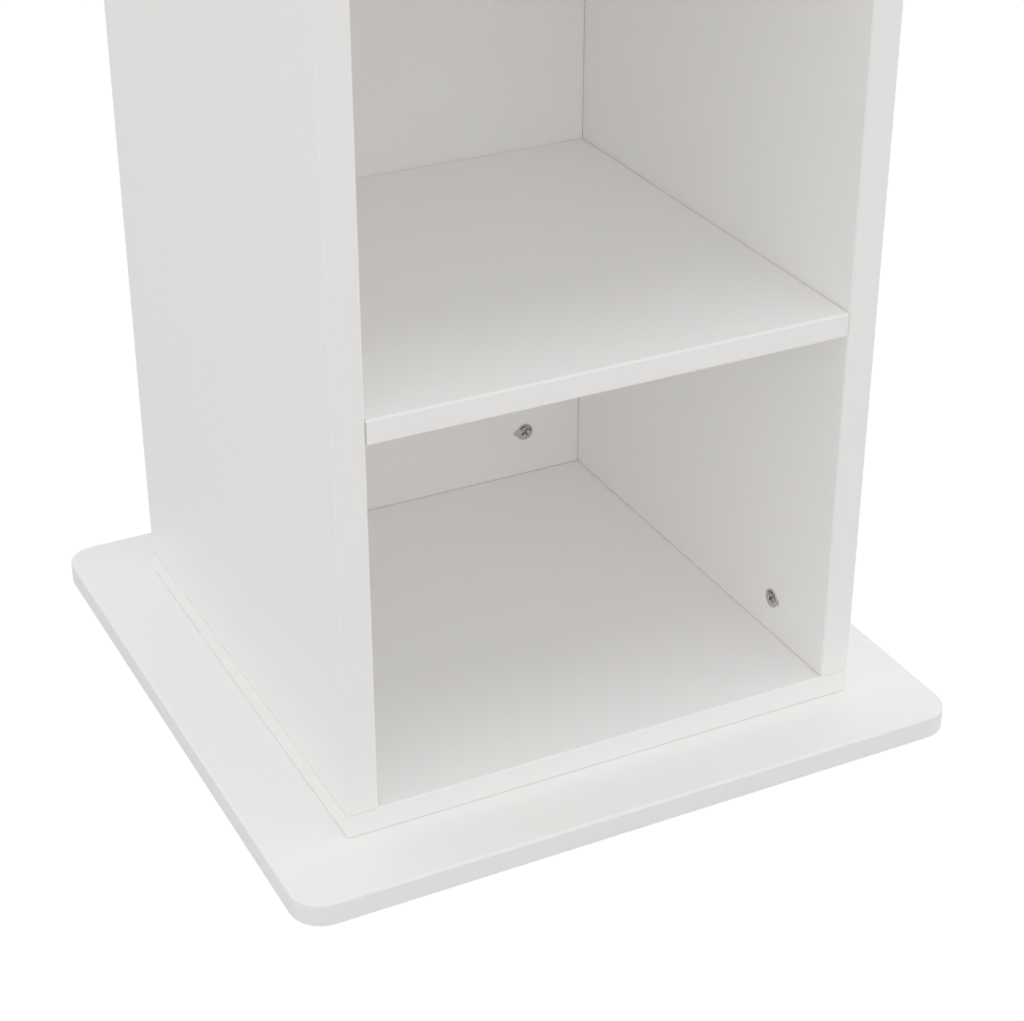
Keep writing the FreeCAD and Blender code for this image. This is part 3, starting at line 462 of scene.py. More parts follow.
def glide_master(size, thick):
    """A moulded glide, with rings under it for grip."""
    tread, edge = chosen("fittings").glide_tread, GLIDE_EDGE
    outline = [(0, tread)]
    for ring in GLIDE_RINGS:
        reach = ring * size / 2
        outline += [(reach, tread), (reach + tread, 0),
                    (reach + 4 * tread, 0), (reach + 5 * tread, tread)]
    rim = size / 2
    outline += [(rim - 4 * edge, tread), (rim - 3 * edge, 0), (rim - edge, 0),
                (rim - 0.3 * edge, 0.3 * edge), (rim, edge), (rim, thick - 0.2 * edge),
                (rim - 0.2 * edge, thick), (0, thick)]
    return turned("glide_master", outline, 64)


# ---------- Geometry trees ----------

def board_skin_tree():
    """Weld a board's triangles, mark its edges over 30 degrees sharp, mark as bare each face that is cut
    deeper than Skin into it, within Reach of the turning axis, and mark each narrow bevel, which the foil
    greys as its cut edge and also as painted shade for the shadow in the joint."""
    tree, given = new_tree("board_skin", Board="Geometry", Skin="Float", Reach="Float", Bevel="Float")
    weld = add(tree, "GeometryNodeMergeByDistance", {"Geometry": given["Board"], "Distance": WELD})
    box = add(tree, "GeometryNodeBoundBox", {"Geometry": given["Board"]})
    place = add(tree, "GeometryNodeInputPosition")
    from_low = add(tree, "ShaderNodeVectorMath", {0: place, 1: box.outputs["Min"]}, operation="SUBTRACT")
    from_high = add(tree, "ShaderNodeVectorMath", {0: box.outputs["Max"], 1: place}, operation="SUBTRACT")
    depth = add(tree, "ShaderNodeVectorMath", {0: from_low, 1: from_high}, operation="MINIMUM")
    axes = add(tree, "ShaderNodeSeparateXYZ", {0: depth}).outputs
    least = add(tree, "ShaderNodeMath", {0: axes[0], 1: axes[1]}, operation="MINIMUM")
    least = add(tree, "ShaderNodeMath", {0: least, 1: axes[2]}, operation="MINIMUM")
    cut = add(tree, "ShaderNodeMath", {0: least, 1: given["Skin"]}, operation="GREATER_THAN")
    plan = add(tree, "ShaderNodeVectorMath", {0: place, 1: (1, 1, 0)}, operation="MULTIPLY")
    away = add(tree, "ShaderNodeVectorMath", {0: plan}, operation="LENGTH")
    near = add(tree, "ShaderNodeMath", {0: away, 1: given["Reach"]}, operation="LESS_THAN")
    bare = add(tree, "ShaderNodeMath", {0: cut, 1: near}, operation="MULTIPLY")
    total = add(tree, "ShaderNodeVectorMath", {0: depth, 1: (1, 1, 1)}, operation="DOT_PRODUCT")
    most = add(tree, "ShaderNodeMath", {0: axes[0], 1: axes[1]}, operation="MAXIMUM")
    most = add(tree, "ShaderNodeMath", {0: most, 1: axes[2]}, operation="MAXIMUM")
    two = add(tree, "ShaderNodeMath", {0: total, 1: most}, operation="SUBTRACT")
    narrow = add(tree, "ShaderNodeMath", {0: two, 1: given["Bevel"]}, operation="LESS_THAN")
    inside = add(tree, "ShaderNodeMath", {0: least, 1: FLUSH}, operation="GREATER_THAN")
    bevel = add(tree, "ShaderNodeMath", {0: narrow, 1: inside}, operation="MULTIPLY")
    shape = weld
    # the narrow bevels are marked so that the foil can grey them: the cut edge, and painted shade for the
    # joint's shadow
    for name, value in (("bare", bare), ("arris", bevel)):
        shape = add(tree, "GeometryNodeStoreNamedAttribute",
                    {"Geometry": shape, "Name": name, "Value": value}, data_type="FLOAT", domain="FACE")
    add(tree, "NodeGroupOutput", {0: sharpened(tree, shape)})
    return tree


def sharpened(tree, shape):
    """Shade a shape smooth but for its edges over 30 degrees."""
    smooth = add(tree, "GeometryNodeSetShadeSmooth",
                 {"Geometry": shape, "Shade Smooth": True}, domain="FACE")
    fold = add(tree, "GeometryNodeInputMeshEdgeAngle").outputs["Unsigned Angle"]
    sharp = add(tree, "ShaderNodeMath", {0: fold, 1: SHARP}, operation="GREATER_THAN")
    return add(tree, "GeometryNodeSetShadeSmooth",
               {"Geometry": smooth, "Selection": sharp, "Shade Smooth": False}, domain="EDGE")


def on_seats_tree():
    """Set a copy of a master, picked by the seat's kind, on each seat, turned as the seat is."""
    tree, given = new_tree("pieces_on_seats", Seats="Geometry", Masters="Collection", Finish="Material")
    masters = add(tree, "GeometryNodeCollectionInfo",
                  {"Collection": given["Masters"], "Separate Children": True, "Reset Children": True})
    kind = add(tree, "GeometryNodeInputNamedAttribute", {"Name": "kind"}, data_type="INT")
    turn = add(tree, "GeometryNodeInputNamedAttribute", {"Name": "turn"}, data_type="QUATERNION")
    copies = add(tree, "GeometryNodeInstanceOnPoints",
                 {"Points": given["Seats"], "Instance": masters, "Pick Instance": True,
                  "Instance Index": kind.outputs["Attribute"], "Rotation": turn.outputs["Attribute"]})
    add(tree, "NodeGroupOutput", {0: finished(tree, copies, given["Finish"])})
    return tree


def ring_of_balls_tree():
    """Balls evenly round a circle about Z, the first on the X axis."""
    tree, given = new_tree("ring_of_balls", Shape="Geometry", Balls="Int", Circle="Float", Size="Float",
                           Height="Float", Sides="Int", Finish="Material")
    radius = add(tree, "ShaderNodeMath", {0: given["Circle"], 1: 2.0}, operation="DIVIDE")
    circle = add(tree, "GeometryNodeMeshCircle", {"Vertices": given["Balls"], "Radius": radius})
    half = add(tree, "ShaderNodeMath", {0: given["Size"], 1: 2.0}, operation="DIVIDE")
    rows = add(tree, "ShaderNodeMath", {0: given["Sides"], 1: 2.0}, operation="DIVIDE")
    ball = add(tree, "GeometryNodeMeshUVSphere",
               {"Segments": given["Sides"], "Rings": rows, "Radius": half})
    copies = add(tree, "GeometryNodeInstanceOnPoints", {"Points": circle, "Instance": ball})
    raised = add(tree, "ShaderNodeCombineXYZ", {2: given["Height"]})
    placed = add(tree, "GeometryNodeTransform", {"Geometry": copies, "Translation": raised})
    smooth = add(tree, "GeometryNodeSetShadeSmooth", {"Geometry": placed, "Shade Smooth": True})
    add(tree, "NodeGroupOutput", {0: finished(tree, smooth, given["Finish"])})
    return tree


def finished(tree, copies, finish):
    """Make copies real and give them their material."""
    real = add(tree, "GeometryNodeRealizeInstances", {"Geometry": copies})
    return add(tree, "GeometryNodeSetMaterial", {"Geometry": real, "Material": finish})


def skinned(node, material, reach=FAR, bevel=BEVEL):
    """Finish a CAD node where it stands: its material, its sharp and soft edges, and what is cut bare."""
    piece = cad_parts[node]
    for slot in piece.material_slots:
        slot.material = material
    tree = bpy.data.node_groups.get("board_skin") or board_skin_tree()
    with_tree(piece, tree, Skin=FOIL_SKIN, Reach=reach, Bevel=bevel)
    flat = piece.modifiers.new("flat_faces", "WEIGHTED_NORMAL")
    flat.keep_sharp = True


def on_seats(node, body, master, seats, finish):
    """Copies of a master on seats, standing for a CAD node.  A seat is a place, the three axes of the
    copy there and the sizes that its master is made with."""
    kinds = list(dict.fromkeys(sizes for place, axes, sizes in seats))
    mesh = bpy.data.meshes.new("seats")
    mesh.from_pydata([seat[0] for seat in seats], [], [])
    mesh.attributes.new("turn", "QUATERNION", "POINT")
    mesh.attributes.new("kind", "INT", "POINT")
    for number, (place, axes, sizes) in enumerate(seats):
        mesh.attributes["turn"].data[number].value = Matrix(axes).transposed().to_quaternion()
        mesh.attributes["kind"].data[number].value = kinds.index(sizes)
    store = bpy.data.collections.new("masters")
    originals = []
    for number, sizes in enumerate(kinds):
        originals.append(bpy.data.objects.new(f"master_{number}", master(*sizes)))
        store.objects.link(originals[-1])
    piece = new_object("seats", mesh)
    tree = bpy.data.node_groups.get("pieces_on_seats") or on_seats_tree()
    with_tree(piece, tree, Masters=store, Finish=finish)
    mesh = plain_mesh(piece)
    bpy.data.collections.remove(store)
    for original in originals:
        bpy.data.objects.remove(original)
    set_in_frame(mesh, body, node)


def axes_along(direction):
    """Three axes of a piece turned about its own Z, with Z along a direction."""
    side = Vector((0, 1, 0)) if abs(direction.y) < 0.5 else Vector((0, 0, 1))
    across = side.cross(direction)
    return across, direction.cross(across), direction


# ---------- Materials ----------

def new_material(name, **sockets):
    """A node material with values on its shader, and the coordinate in metres that its patterns read."""
    made = bpy.data.materials.new(name)
    made.use_nodes = True
    tree = made.node_tree
    shader = tree.nodes["Principled BSDF"]
    for label, value in sockets.items():
        shader.inputs[label.replace("_", " ")].default_value = value
    return made, tree, shader, add(tree, "ShaderNodeTexCoord").outputs["Object"]


def white_foil(name, edges):
    """White melamine foil pressed on particle board, with a thicker band of the same white on its edges.
    It gives a satin white that mirrors nothing sharply, a trace warmer in places, the faint orange peel
    of the press plate, a hairline where band and foil meet, and buff chips of wood where the board is
    cut.  edges is a box in plan: its half width, its half depth, its corner radius."""
    finishes = chosen("finishes")
    made, tree, shader, place = new_material(name)
    # the peel's cells are 0.5 mm wide, drawn 1.5 mm wide to show; print and pressing drift over 90 mm
    peel = add(tree, "ShaderNodeTexNoise", {"Vector": place, "Scale": 1 / (1.5 * MM), "Detail": 2.0})
    uneven = add(tree, "ShaderNodeTexNoise", {"Vector": place, "Scale": 1 / (90 * MM), "Detail": 1.0})
    # the chips of the core are 2.5 mm across
    chips = add(tree, "ShaderNodeTexVoronoi", {"Vector": place, "Scale": 1 / (2.5 * MM)})
    line = hairline(tree, place, *edges)
    white = add(tree, "ShaderNodeMix",
                {"Factor": uneven, "A": finishes.foil, "B": finishes.warm_foil}, data_type="RGBA")
    toned = add(tree, "ShaderNodeMix",
                {"Factor": line, "A": white, "B": LINE_SHADE}, data_type="RGBA",
                blend_type="MULTIPLY")
    # narrow bevels where boards meet turn grey: the foil's cut edge, darkened further as painted shade
    # for the shadow in the joint
    arris = add(tree, "ShaderNodeAttribute", attribute_type="GEOMETRY", attribute_name="arris")
    toned = add(tree, "ShaderNodeMix",
                {"Factor": arris.outputs["Fac"], "A": toned, "B": finishes.seam}, data_type="RGBA")
    chip = add(tree, "ShaderNodeMix",
               {"Factor": chips.outputs["Color"], "A": finishes.core, "B": finishes.core_chip},
               data_type="RGBA")
    bare = add(tree, "ShaderNodeAttribute", attribute_type="GEOMETRY", attribute_name="bare")
    skin = add(tree, "ShaderNodeMix",
               {"Factor": bare.outputs["Fac"], "A": toned, "B": chip}, data_type="RGBA")
    satin = add(tree, "ShaderNodeMapRange",
                {"Value": uneven, "From Min": 0.3, "From Max": 0.7, "To Min": 0.40, "To Max": 0.47})
    matt = add(tree, "ShaderNodeMix", {"Factor": bare.outputs["Fac"], "A": satin, "B": 0.85})
    relief = add(tree, "ShaderNodeBump", {"Height": peel, "Strength": 0.5, "Distance": 0.02 * MM})
    rough = add(tree, "ShaderNodeMath",
                {0: chips.outputs["Distance"], 1: bare.outputs["Fac"]}, operation="MULTIPLY")
    torn = add(tree, "ShaderNodeBump",
               {"Height": rough, "Strength": 0.6, "Distance": 0.4 * MM, "Normal": relief})
    feed(tree, shader, {"Base Color": skin, "Roughness": matt, "Normal": torn})
    return made


def hairline(tree, place, half_width, half_depth, corner):
    """1 on a line as far inside the edges of a box in plan as their band is thick, 0 elsewhere."""
    band = chosen("fittings").edge_band
    corner = max(corner, band + 0.5 * MM)
    inner = (half_width - corner, half_depth - corner, FAR)
    plan = add(tree, "ShaderNodeVectorMath", {0: place}, operation="ABSOLUTE")
    beyond = add(tree, "ShaderNodeVectorMath", {0: plan, 1: inner}, operation="SUBTRACT")
    beyond = add(tree, "ShaderNodeVectorMath", {0: beyond, 1: (0, 0, 0)}, operation="MAXIMUM")
    away = add(tree, "ShaderNodeVectorMath", {0: beyond}, operation="LENGTH")
    return add(tree, "ShaderNodeMath", {0: away, 1: corner - band, 2: 0.06 * MM}, operation="COMPARE")


def roughened(material, gloss, grain, relief):
    """Vary a material's roughness between two values, with a grain so wide and a relief so high."""
    made, tree, shader, place = material
    # cloudy patches are 8 grains wide
    cloud = add(tree, "ShaderNodeTexNoise", {"Vector": place, "Scale": 1 / (8 * grain), "Detail": 2.0})
    skin = add(tree, "ShaderNodeTexNoise", {"Vector": place, "Scale": 1 / grain, "Detail": 3.0})
    rough = add(tree, "ShaderNodeMapRange",
                {"Value": cloud, "From Min": 0.3, "From Max": 0.7,
                 "To Min": gloss[0], "To Max": gloss[1]})
    bump = add(tree, "ShaderNodeBump", {"Height": skin, "Strength": 0.6, "Distance": relief})
    feed(tree, shader, {"Roughness": rough, "Normal": bump})
    return made


def die_cast_zinc():
    """Bare zinc alloy, pressure die-cast: a dull grey metal, cloudy, with a fine sandy skin."""
    material = new_material("die_cast_zinc", Base_Color=chosen("finishes").zinc, Metallic=1.0)
    # the die's skin is 0.35 mm grit
    return roughened(material, gloss=(0.30, 0.48), grain=0.35 * MM, relief=0.03 * MM)


def zinc_plated_steel():
    """Cold-headed steel with clear bright zinc: a cool silver, slightly milky, sharper than cast zinc."""
    material = new_material("zinc_plated_steel", Base_Color=chosen("finishes").steel, Metallic=1.0)
    # the plating's crystals are far finer than this 0.25 mm, which is drawn to show
    return roughened(material, gloss=(0.22, 0.34), grain=0.25 * MM, relief=0.006 * MM)


def bearing_steel():
    """Hardened, ground and polished chrome steel: a dark mirror with the faintest running scuffs."""
    material = new_material("bearing_steel", Base_Color=chosen("finishes").ball_steel, Metallic=1.0)
    # scuffs 0.2 mm wide
    return roughened(material, gloss=(0.06, 0.14), grain=0.2 * MM, relief=0.001 * MM)


def moulded_nylon():
    """Natural nylon, injection moulded: a warm, slightly waxy off-white that lets a little light in."""
    material = new_material("moulded_nylon", Base_Color=chosen("finishes").nylon, IOR=1.53,
                            Subsurface_Weight=0.15, Subsurface_Scale=0.5 * MM)
    # spark-eroded mould texture of 0.3 mm
    return roughened(material, gloss=(0.38, 0.52), grain=0.3 * MM, relief=0.01 * MM)


def glide_rubber():
    """Moulded black-grey rubber, dusty from the mould: matt, with a soft fine grain."""
    material = new_material("glide_rubber", Base_Color=chosen("finishes").rubber, IOR=1.52)
    # mould grain of 0.4 mm
    return roughened(material, gloss=(0.62, 0.82), grain=0.4 * MM, relief=0.03 * MM)


def turned_aluminium():
    """Aluminium turned on a lathe: bright, with fine rings about the axis that draw out highlights."""
    made, tree, shader, place = new_material(
        "turned_aluminium", Base_Color=chosen("finishes").aluminium, Metallic=1.0)
    # the feed of the tool is 0.15 mm a turn, drawn 0.6 mm to show; a ring wave's period is 0.314 / Scale
    rings = add(tree, "ShaderNodeTexWave",
                {"Vector": place, "Scale": 0.314 / (0.6 * MM), "Detail": 0.0}, wave_type="RINGS",
                rings_direction="Z")
    gloss = add(tree, "ShaderNodeMapRange",
                {"Value": rings.outputs["Fac"], "To Min": 0.20, "To Max": 0.36})
    relief = add(tree, "ShaderNodeBump",
                 {"Height": rings.outputs["Fac"], "Strength": 0.5, "Distance": 0.02 * MM})
    feed(tree, shader, {"Roughness": gloss, "Normal": relief})
    return made


def beech(name, stretch):
    """Steamed beech, rolled and cut to length: warm tan, long straight grain and short dark rays.
    stretch is how much longer the grain is than wide along each axis."""
    finishes = chosen("finishes")
    made, tree, shader, place = new_material(name)
    run = add(tree, "ShaderNodeMapping", {"Vector": place, "Scale": stretch}, vector_type="TEXTURE")
    # growth lines 0.8 mm apart, rays 0.5 mm wide
    grain = add(tree, "ShaderNodeTexNoise", {"Vector": run, "Scale": 1 / (0.8 * MM), "Detail": 2.0})
    rays = add(tree, "ShaderNodeTexVoronoi", {"Vector": run, "Scale": 1 / (0.5 * MM)})
    ray = add(tree, "ShaderNodeMapRange",
              {"Value": rays.outputs["Distance"], "From Min": 0.12, "From Max": 0.3, "To Min": 0.8,
               "To Max": 0.0})
    line = add(tree, "ShaderNodeMapRange",
               {"Value": grain, "From Min": 0.35, "From Max": 0.75, "To Min": 0.0, "To Max": 0.55})
    both = add(tree, "ShaderNodeMath", {0: ray, 1: line}, operation="MAXIMUM")
    wood = add(tree, "ShaderNodeMix",
               {"Factor": both, "A": finishes.beech, "B": finishes.beech_fleck}, data_type="RGBA")
    gloss = add(tree, "ShaderNodeMapRange", {"Value": grain, "To Min": 0.5, "To Max": 0.75})
    relief = add(tree, "ShaderNodeBump", {"Height": grain, "Strength": 0.6, "Distance": 0.05 * MM})
    feed(tree, shader, {"Base Color": wood, "Roughness": gloss, "Normal": relief})
    return made


def silvered_glass():
    """Float glass silvered on its back: a clear reflection with the float's faint waves, and a ground
    edge that shows the green of the glass."""
    finishes = chosen("finishes")
    made, tree, shader, place = new_material("silvered_glass", Coat_Weight=0.3, Coat_Roughness=0.0)
    depth = add(tree, "ShaderNodeSeparateXYZ", {0: place}).outputs["Y"]
    face = add(tree, "ShaderNodeMath",
               {0: depth, 1: high("mirror").y - FLUSH}, operation="GREATER_THAN")
    # the float's waves are 60 mm long; the wheel's scratches on the edge are 0.3 mm apart
    waves = add(tree, "ShaderNodeTexNoise", {"Vector": place, "Scale": 1 / (60 * MM), "Detail": 1.0})
    ground = add(tree, "ShaderNodeTexNoise", {"Vector": place, "Scale": 1 / (0.3 * MM), "Detail": 2.0})
    edge_gloss = add(tree, "ShaderNodeMapRange", {"Value": ground, "To Min": 0.3, "To Max": 0.6})
    hue = add(tree, "ShaderNodeMix",
              {"Factor": face, "A": finishes.glass_edge, "B": finishes.silver}, data_type="RGBA")
    gloss = add(tree, "ShaderNodeMix", {"Factor": face, "A": edge_gloss, "B": 0.0})
    relief = add(tree, "ShaderNodeBump", {"Height": waves, "Strength": 0.3, "Distance": 0.05 * MM})
    feed(tree, shader, {"Metallic": face, "Base Color": hue, "Roughness": gloss, "Normal": relief})
    return made


def closed_cell_foam():
    """Polyethylene foam slit from a roll: a matt pale grey full of small closed pores."""
    made, tree, shader, place = new_material("closed_cell_foam", IOR=1.5, Roughness=0.85)
    # pores of 0.4 mm, drawn 0.8 mm wide to show
    pores = add(tree, "ShaderNodeTexVoronoi", {"Vector": place, "Scale": 1 / (0.8 * MM)})
    # each pore is painted darker towards its centre, where the bump sinks it: painted shade in the pores
    shade = add(tree, "ShaderNodeMapRange",
                {"Value": pores.outputs["Distance"], "From Max": 0.6, "To Min": 0.75, "To Max": 1.0})
    tone = add(tree, "ShaderNodeMix",
               {"Factor": 1.0, "A": chosen("finishes").foam, "B": shade},
               data_type="RGBA", blend_type="MULTIPLY")
    relief = add(tree, "ShaderNodeBump",
                 {"Height": pores.outputs["Distance"], "Strength": 0.7, "Distance": 0.2 * MM})
    feed(tree, shader, {"Base Color": tone, "Normal": relief})
    return made


def lit_floor():
    """Matt white studio floor, lit until it reads as paper: it gives a plain white ground with the
    least of shadows, and it throws back less light than it shows."""
    studio = chosen("studio")
    made, tree, shader, place = new_material(
        "lit_floor", Base_Color=chosen("finishes").floor, IOR=1.45)
    # paint mottled over 250 mm
    mottle = add(tree, "ShaderNodeTexNoise", {"Vector": place, "Scale": 1 / (250 * MM), "Detail": 2.0})
    matt = add(tree, "ShaderNodeMapRange", {"Value": mottle, "To Min": 0.6, "To Max": 0.8})
    feed(tree, shader, {"Roughness": matt})
    path = add(tree, "ShaderNodeLightPath").outputs
    # in the mirror the floor is as bright as the sky's foot, so that no horizon cuts across the glass
    shown = add(tree, "ShaderNodeMix",
                {"Factor": path["Is Singular Ray"], "A": studio.white_ground, "B": studio.sky_foot})
    glow = add(tree, "ShaderNodeEmission", {"Color": studio.light_colour, "Strength": shown})
    seen = add(tree, "ShaderNodeMath",
               {0: path["Is Camera Ray"], 1: path["Is Singular Ray"]}, operation="MAXIMUM")
    mixed = add(tree, "ShaderNodeMixShader", {0: seen, 1: shader, 2: glow})
    feed(tree, tree.nodes["Material Output"], {"Surface": mixed})
    return made


# ---------- Operators: one for each group of pieces, one for the studio ----------

def cabinet_foil(kind):
    """The foil of the cabinet's upright boards and shelves, or of its end panels, made once."""
    name = "white_foil_" + kind
    half = high("bottom_panel")
    width = half.x if kind == "end_panels" else FAR
    return bpy.data.materials.get(name) or white_foil(name, (width, half.y, 0))


class MakeBase(bpy.types.Operator):
    """Finish the base plate and set its moulded glides under it"""
    bl_idname = "cabinet.base"
    bl_label = "Base plate and glides"

    def execute(self, context):
        side = high("base_plate").x
        foil = white_foil("white_foil_base", (side, side, BASE_CORNER))
        skinned("base_plate", foil, reach=side - BASE_CORNER, bevel=0.0)
        boxes = solids("floor_glides")
        sizes = width_and_height(boxes[0])
        seats = [(Vector((foot.x + head.x, foot.y + head.y, 0)) / 2, axes_along(UP), sizes)
                 for foot, head in boxes]
        on_seats("floor_glides", "base", glide_master, seats, glide_rubber())
        return {"FINISHED"}


class MakeTurntable(bpy.types.Operator):
    """Finish the two rings of the turntable and the ball cage between them"""
    bl_idname = "cabinet.turntable"
    bl_label = "Turntable rings and cage"

    def execute(self, context):
        metal = turned_aluminium()
        skinned("turntable_lower_ring", metal)
        skinned("turntable_upper_ring", metal)
        skinned("ball_cage", moulded_nylon())
        return {"FINISHED"}


class MakeBalls(bpy.types.Operator):
    """Set the polished balls round the turntable's race"""
    bl_idname = "cabinet.balls"
    bl_label = "Bearing balls"

    def execute(self, context):
        foot, head = low("bearing_balls"), high("bearing_balls")
        size = head.z - foot.z
        piece = new_object("balls", bpy.data.meshes.new("balls"))
        with_tree(piece, ring_of_balls_tree(), Balls=len(solids("bearing_balls")),
                  Circle=head.x - foot.x - size, Size=size, Height=(foot.z + head.z) / 2,
                  Sides=chosen("fittings").ball_sides, Finish=bearing_steel())
        set_in_frame(plain_mesh(piece), "ball_ring", "bearing_balls")
        return {"FINISHED"}


class MakeRingScrews(bpy.types.Operator):
    """Drive the countersunk screws through both rings"""
    bl_idname = "cabinet.ring_screws"
    bl_label = "Ring screws"

    def execute(self, context):
        finish = bpy.data.materials.get("zinc_plated_steel") or zinc_plated_steel()
        for node, body, up in (("lower_ring_screws", "base", UP), ("upper_ring_screws", "cabinet", -UP)):
            boxes = solids(node)
            sizes = width_and_height(boxes[0])
            to_face = up * sizes[1] / 2
            seats = [((foot + head) / 2 + to_face, axes_along(up), sizes) for foot, head in boxes]
            on_seats(node, body, screw_master, seats, finish)
        return {"FINISHED"}


class MakeCarcass(bpy.types.Operator):
    """Finish the bottom, side, back and top panels of the cabinet"""
    bl_idname = "cabinet.carcass"
    bl_label = "Carcass boards"

    def execute(self, context):
        for node in ("bottom_panel", "top_panel"):
            skinned(node, cabinet_foil("end_panels"))
        for node in ("left_side_panel", "right_side_panel", "back_panel"):
            skinned(node, cabinet_foil("boards"))
        return {"FINISHED"}


class MakeShelves(bpy.types.Operator):
    """Finish the shelves"""
    bl_idname = "cabinet.shelves"
    bl_label = "Shelves"

    def execute(self, context):
        for node in sorted(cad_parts):
            if node.startswith("shelf_") and node[-1].isdigit():
                skinned(node, cabinet_foil("boards"))
        return {"FINISHED"}


class MakeMirror(bpy.types.Operator):
    """Finish the mirror and the foam tape behind it"""
    bl_idname = "cabinet.mirror"
    bl_label = "Mirror and tape"

    def execute(self, context):
        skinned("mirror", silvered_glass())
        skinned("mirror_tape", closed_cell_foam())
        return {"FINISHED"}


class MakeCams(bpy.types.Operator):
    """Set the die-cast cams in the boards' faces, tightened"""
    bl_idname = "cabinet.cams"
    bl_label = "Cams"

    def execute(self, context):
        finish = die_cast_zinc()
        for node, joint in (("bottom_cams", -1), ("top_cams", 1), ("shelf_cams", 0)):
            boxes = solids(node)
            barrel = min(boxes[0][1] - boxes[0][0]) - CAM_FLANGE_THICK
            seats = [self.seat(box, joint, barrel) for box in boxes]
            on_seats(node, "cabinet", cam_master, seats, finish)
        return {"FINISHED"}

    def seat(self, box, joint, barrel):
        """A cam's seat on its board's face.  Through the board it is thinnest, along its lug widest."""
        size = box[1] - box[0]
        out_axis, joint_axis, lug_axis = sorted(range(3), key=lambda axis: size[axis])
        out = -UP if out_axis == 2 else inwards(box, out_axis)
        to_joint = joint * UP if joint else -inwards(box, joint_axis)
        lug = Vector((0, -1, 0)) if lug_axis == 1 else inwards(box, lug_axis)
        centre = (box[0] + box[1]) / 2 - lug * (size[lug_axis] - size[joint_axis]) / 2
        face = centre + out * (size[out_axis] / 2 - CAM_FLANGE_THICK)
        along_y, along_z = -to_joint, out
        along_x = along_y.cross(along_z)
        return face, (along_x, along_y, along_z), (1 if along_x.dot(lug) > 0 else -1, barrel)


class MakeBolts(bpy.types.Operator):
    """Screw the connecting bolts into the boards that the cams draw up"""
    bl_idname = "cabinet.connecting_bolts"
    bl_label = "Connecting bolts"

    def execute(self, context):
        finish = bpy.data.materials.get("zinc_plated_steel") or zinc_plated_steel()
        for node, up in (("bottom_connecting_bolts", 1), ("top_connecting_bolts", -1),
                         ("shelf_connecting_bolts", 0)):
            seats = []
            for box in solids(node):
                size = box[1] - box[0]
                axis = max(range(3), key=lambda axis: size[axis])
                along = up * UP if up else inwards(box, axis)
                joint = (box[0] + box[1]) / 2 - along * (size[axis] / 2 - BOLT_GRIP)
                reach = round(size[axis] - BOLT_GRIP - BOLT_HEAD / 2, 5)
                seats.append((joint, axes_along(along), (reach,)))
            on_seats(node, "cabinet", bolt_master, seats, finish)
        return {"FINISHED"}


class MakeDowels(bpy.types.Operator):
    """Glue the fluted dowels across the joints"""
    bl_idname = "cabinet.dowels"
    bl_label = "Dowels"

    def execute(self, context):
        # the grain is 40 times as long as wide
        upright, level = beech("beech_upright", (1, 1, 40)), beech("beech_level", (40, 1, 1))
        for node, wood in (("bottom_dowels", upright), ("top_dowels", upright), ("shelf_dowels", level),
                           ("back_panel_dowels", level)):
            seats = []
            for foot, head in solids(node):
                size = head - foot
                along = Vector(side == max(size) for side in size)
                sizes = (round(min(size), 4), round(max(size), 4))
                seats.append(((foot + head) / 2, axes_along(along), sizes))
            on_seats(node, "cabinet", dowel_master, seats, wood)
        return {"FINISHED"}


# Sines of the angles above the horizon between which the sky brightens, and dims again
SKY_RISE = (0.15, 0.45)
SKY_FALL = (0.6, 0.8)
SOFTBOX_AIM = Vector((0, 0, 0.5))
SOFTBOXES = {"over": ((0, -1.2, 13.6), 10.0), "left": ((-3.2, -0.8, 1.6), 2.0),
             "right": ((3.2, -0.8, 1.6), 2.0)}


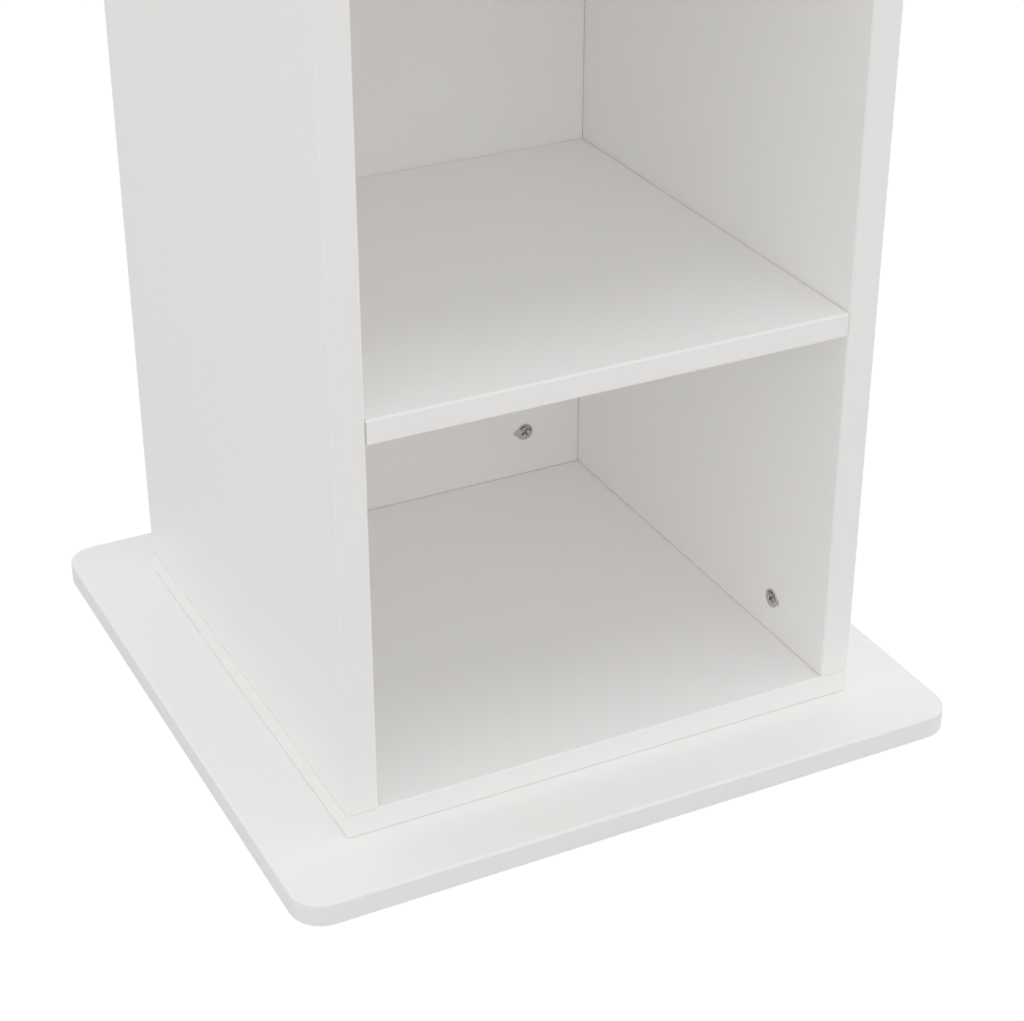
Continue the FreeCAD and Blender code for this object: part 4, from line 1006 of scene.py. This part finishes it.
class MakeStudio(bpy.types.Operator):
    """Lay the floor, light the studio and place the camera"""
    bl_idname = "cabinet.studio"
    bl_label = "Studio"

    def execute(self, context):
        studio = chosen("studio")
        self.lay_floor(studio)
        self.light(context.scene, studio)
        lens = bpy.data.cameras.new("camera")
        lens.lens = studio.focal_length
        lens.clip_end = 100
        camera = bpy.data.objects.new("camera", lens)
        context.scene.collection.objects.link(camera)
        camera.location = studio.camera_place
        camera.rotation_euler = (math.pi / 2 - studio.camera_tilt, 0, -studio.camera_turn)
        context.scene.camera = camera
        # white boards face each other in every bay, so the light needs many bounces to fill it
        context.scene.cycles.max_bounces = 16
        context.scene.cycles.diffuse_bounces = 12
        return {"FINISHED"}

    def lay_floor(self, studio):
        shape = bmesh.new()
        bmesh.ops.create_circle(shape, cap_ends=True, radius=studio.floor_reach, segments=96)
        floor = new_object("studio_floor", from_bmesh("studio_floor", shape))
        floor.data.materials.append(lit_floor())

    def light(self, scene, studio):
        """An even sky, brightest halfway up and seen as a white backdrop, and three softboxes."""
        scene.view_settings.view_transform = "Standard"
        scene.world = bpy.data.worlds.new("studio_sky")
        scene.world.use_nodes = True
        tree = scene.world.node_tree
        way = add(tree, "ShaderNodeTexCoord").outputs["Generated"]
        height = add(tree, "ShaderNodeSeparateXYZ", {0: way}).outputs["Z"]
        lower = add(tree, "ShaderNodeMapRange",
                    {"Value": height, "From Min": SKY_RISE[0], "From Max": SKY_RISE[1],
                     "To Min": studio.sky_foot, "To Max": studio.sky_middle},
                    interpolation_type="SMOOTHSTEP")
        upper = add(tree, "ShaderNodeMapRange",
                    {"Value": height, "From Min": SKY_FALL[0], "From Max": SKY_FALL[1],
                     "To Min": 0.0, "To Max": studio.sky_top - studio.sky_middle},
                    interpolation_type="SMOOTHSTEP")
        sky = add(tree, "ShaderNodeMath", {0: lower, 1: upper})
        seen = add(tree, "ShaderNodeLightPath").outputs["Is Camera Ray"]
        shown = add(tree, "ShaderNodeMix", {"Factor": seen, "A": sky, "B": studio.white_ground})
        feed(tree, tree.nodes["Background"], {"Color": studio.light_colour, "Strength": shown})
        for name, (place, side) in SOFTBOXES.items():
            lamp = bpy.data.lights.new("softbox_" + name, "AREA")
            lamp.size = side
            lamp.energy = getattr(studio, lamp.name)
            lamp.color = studio.light_colour[:3]
            softbox = bpy.data.objects.new(lamp.name, lamp)
            scene.collection.objects.link(softbox)
            softbox.location = place
            softbox.rotation_euler = (SOFTBOX_AIM - softbox.location).to_track_quat("-Z", "Y").to_euler()


# ---------- Panel and making ----------

OPERATORS = (MakeBase, MakeTurntable, MakeBalls, MakeRingScrews, MakeCarcass, MakeShelves, MakeMirror,
             MakeCams, MakeBolts, MakeDowels, MakeStudio)


class CabinetPanel(bpy.types.Panel):
    """The steps that make the cabinet, in order, and what can be changed in them"""
    bl_idname = "VIEW3D_PT_cabinet"
    bl_label = "Revolving Cabinet"
    bl_space_type = "VIEW_3D"
    bl_region_type = "UI"
    bl_category = "Cabinet"

    def draw(self, context):
        for group in (chosen("finishes"), chosen("fittings"), chosen("studio")):
            box = self.layout.box()
            for name in group.__annotations__:
                box.prop(group, name)
        for operator in OPERATORS:
            self.layout.operator(operator.bl_idname)


GROUPS = {"cabinet_finishes": CabinetFinishes, "cabinet_fittings": CabinetFittings,
          "cabinet_studio": CabinetStudio}


def register():
    for kind in (*GROUPS.values(), *OPERATORS, CabinetPanel):
        bpy.utils.register_class(kind)
    for name, kind in GROUPS.items():
        setattr(bpy.types.Scene, name, PointerProperty(type=kind))


def unregister():
    for name in GROUPS:
        delattr(bpy.types.Scene, name)
    for kind in reversed((*GROUPS.values(), *OPERATORS, CabinetPanel)):
        bpy.utils.unregister_class(kind)


def main():
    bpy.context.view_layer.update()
    register()
    bpy.ops.cabinet.base()
    bpy.ops.cabinet.turntable()
    bpy.ops.cabinet.balls()
    bpy.ops.cabinet.ring_screws()
    bpy.ops.cabinet.carcass()
    bpy.ops.cabinet.shelves()
    bpy.ops.cabinet.mirror()
    bpy.ops.cabinet.cams()
    bpy.ops.cabinet.connecting_bolts()
    bpy.ops.cabinet.dowels()
    bpy.ops.cabinet.studio()


if __name__ == "__main__":
    main()
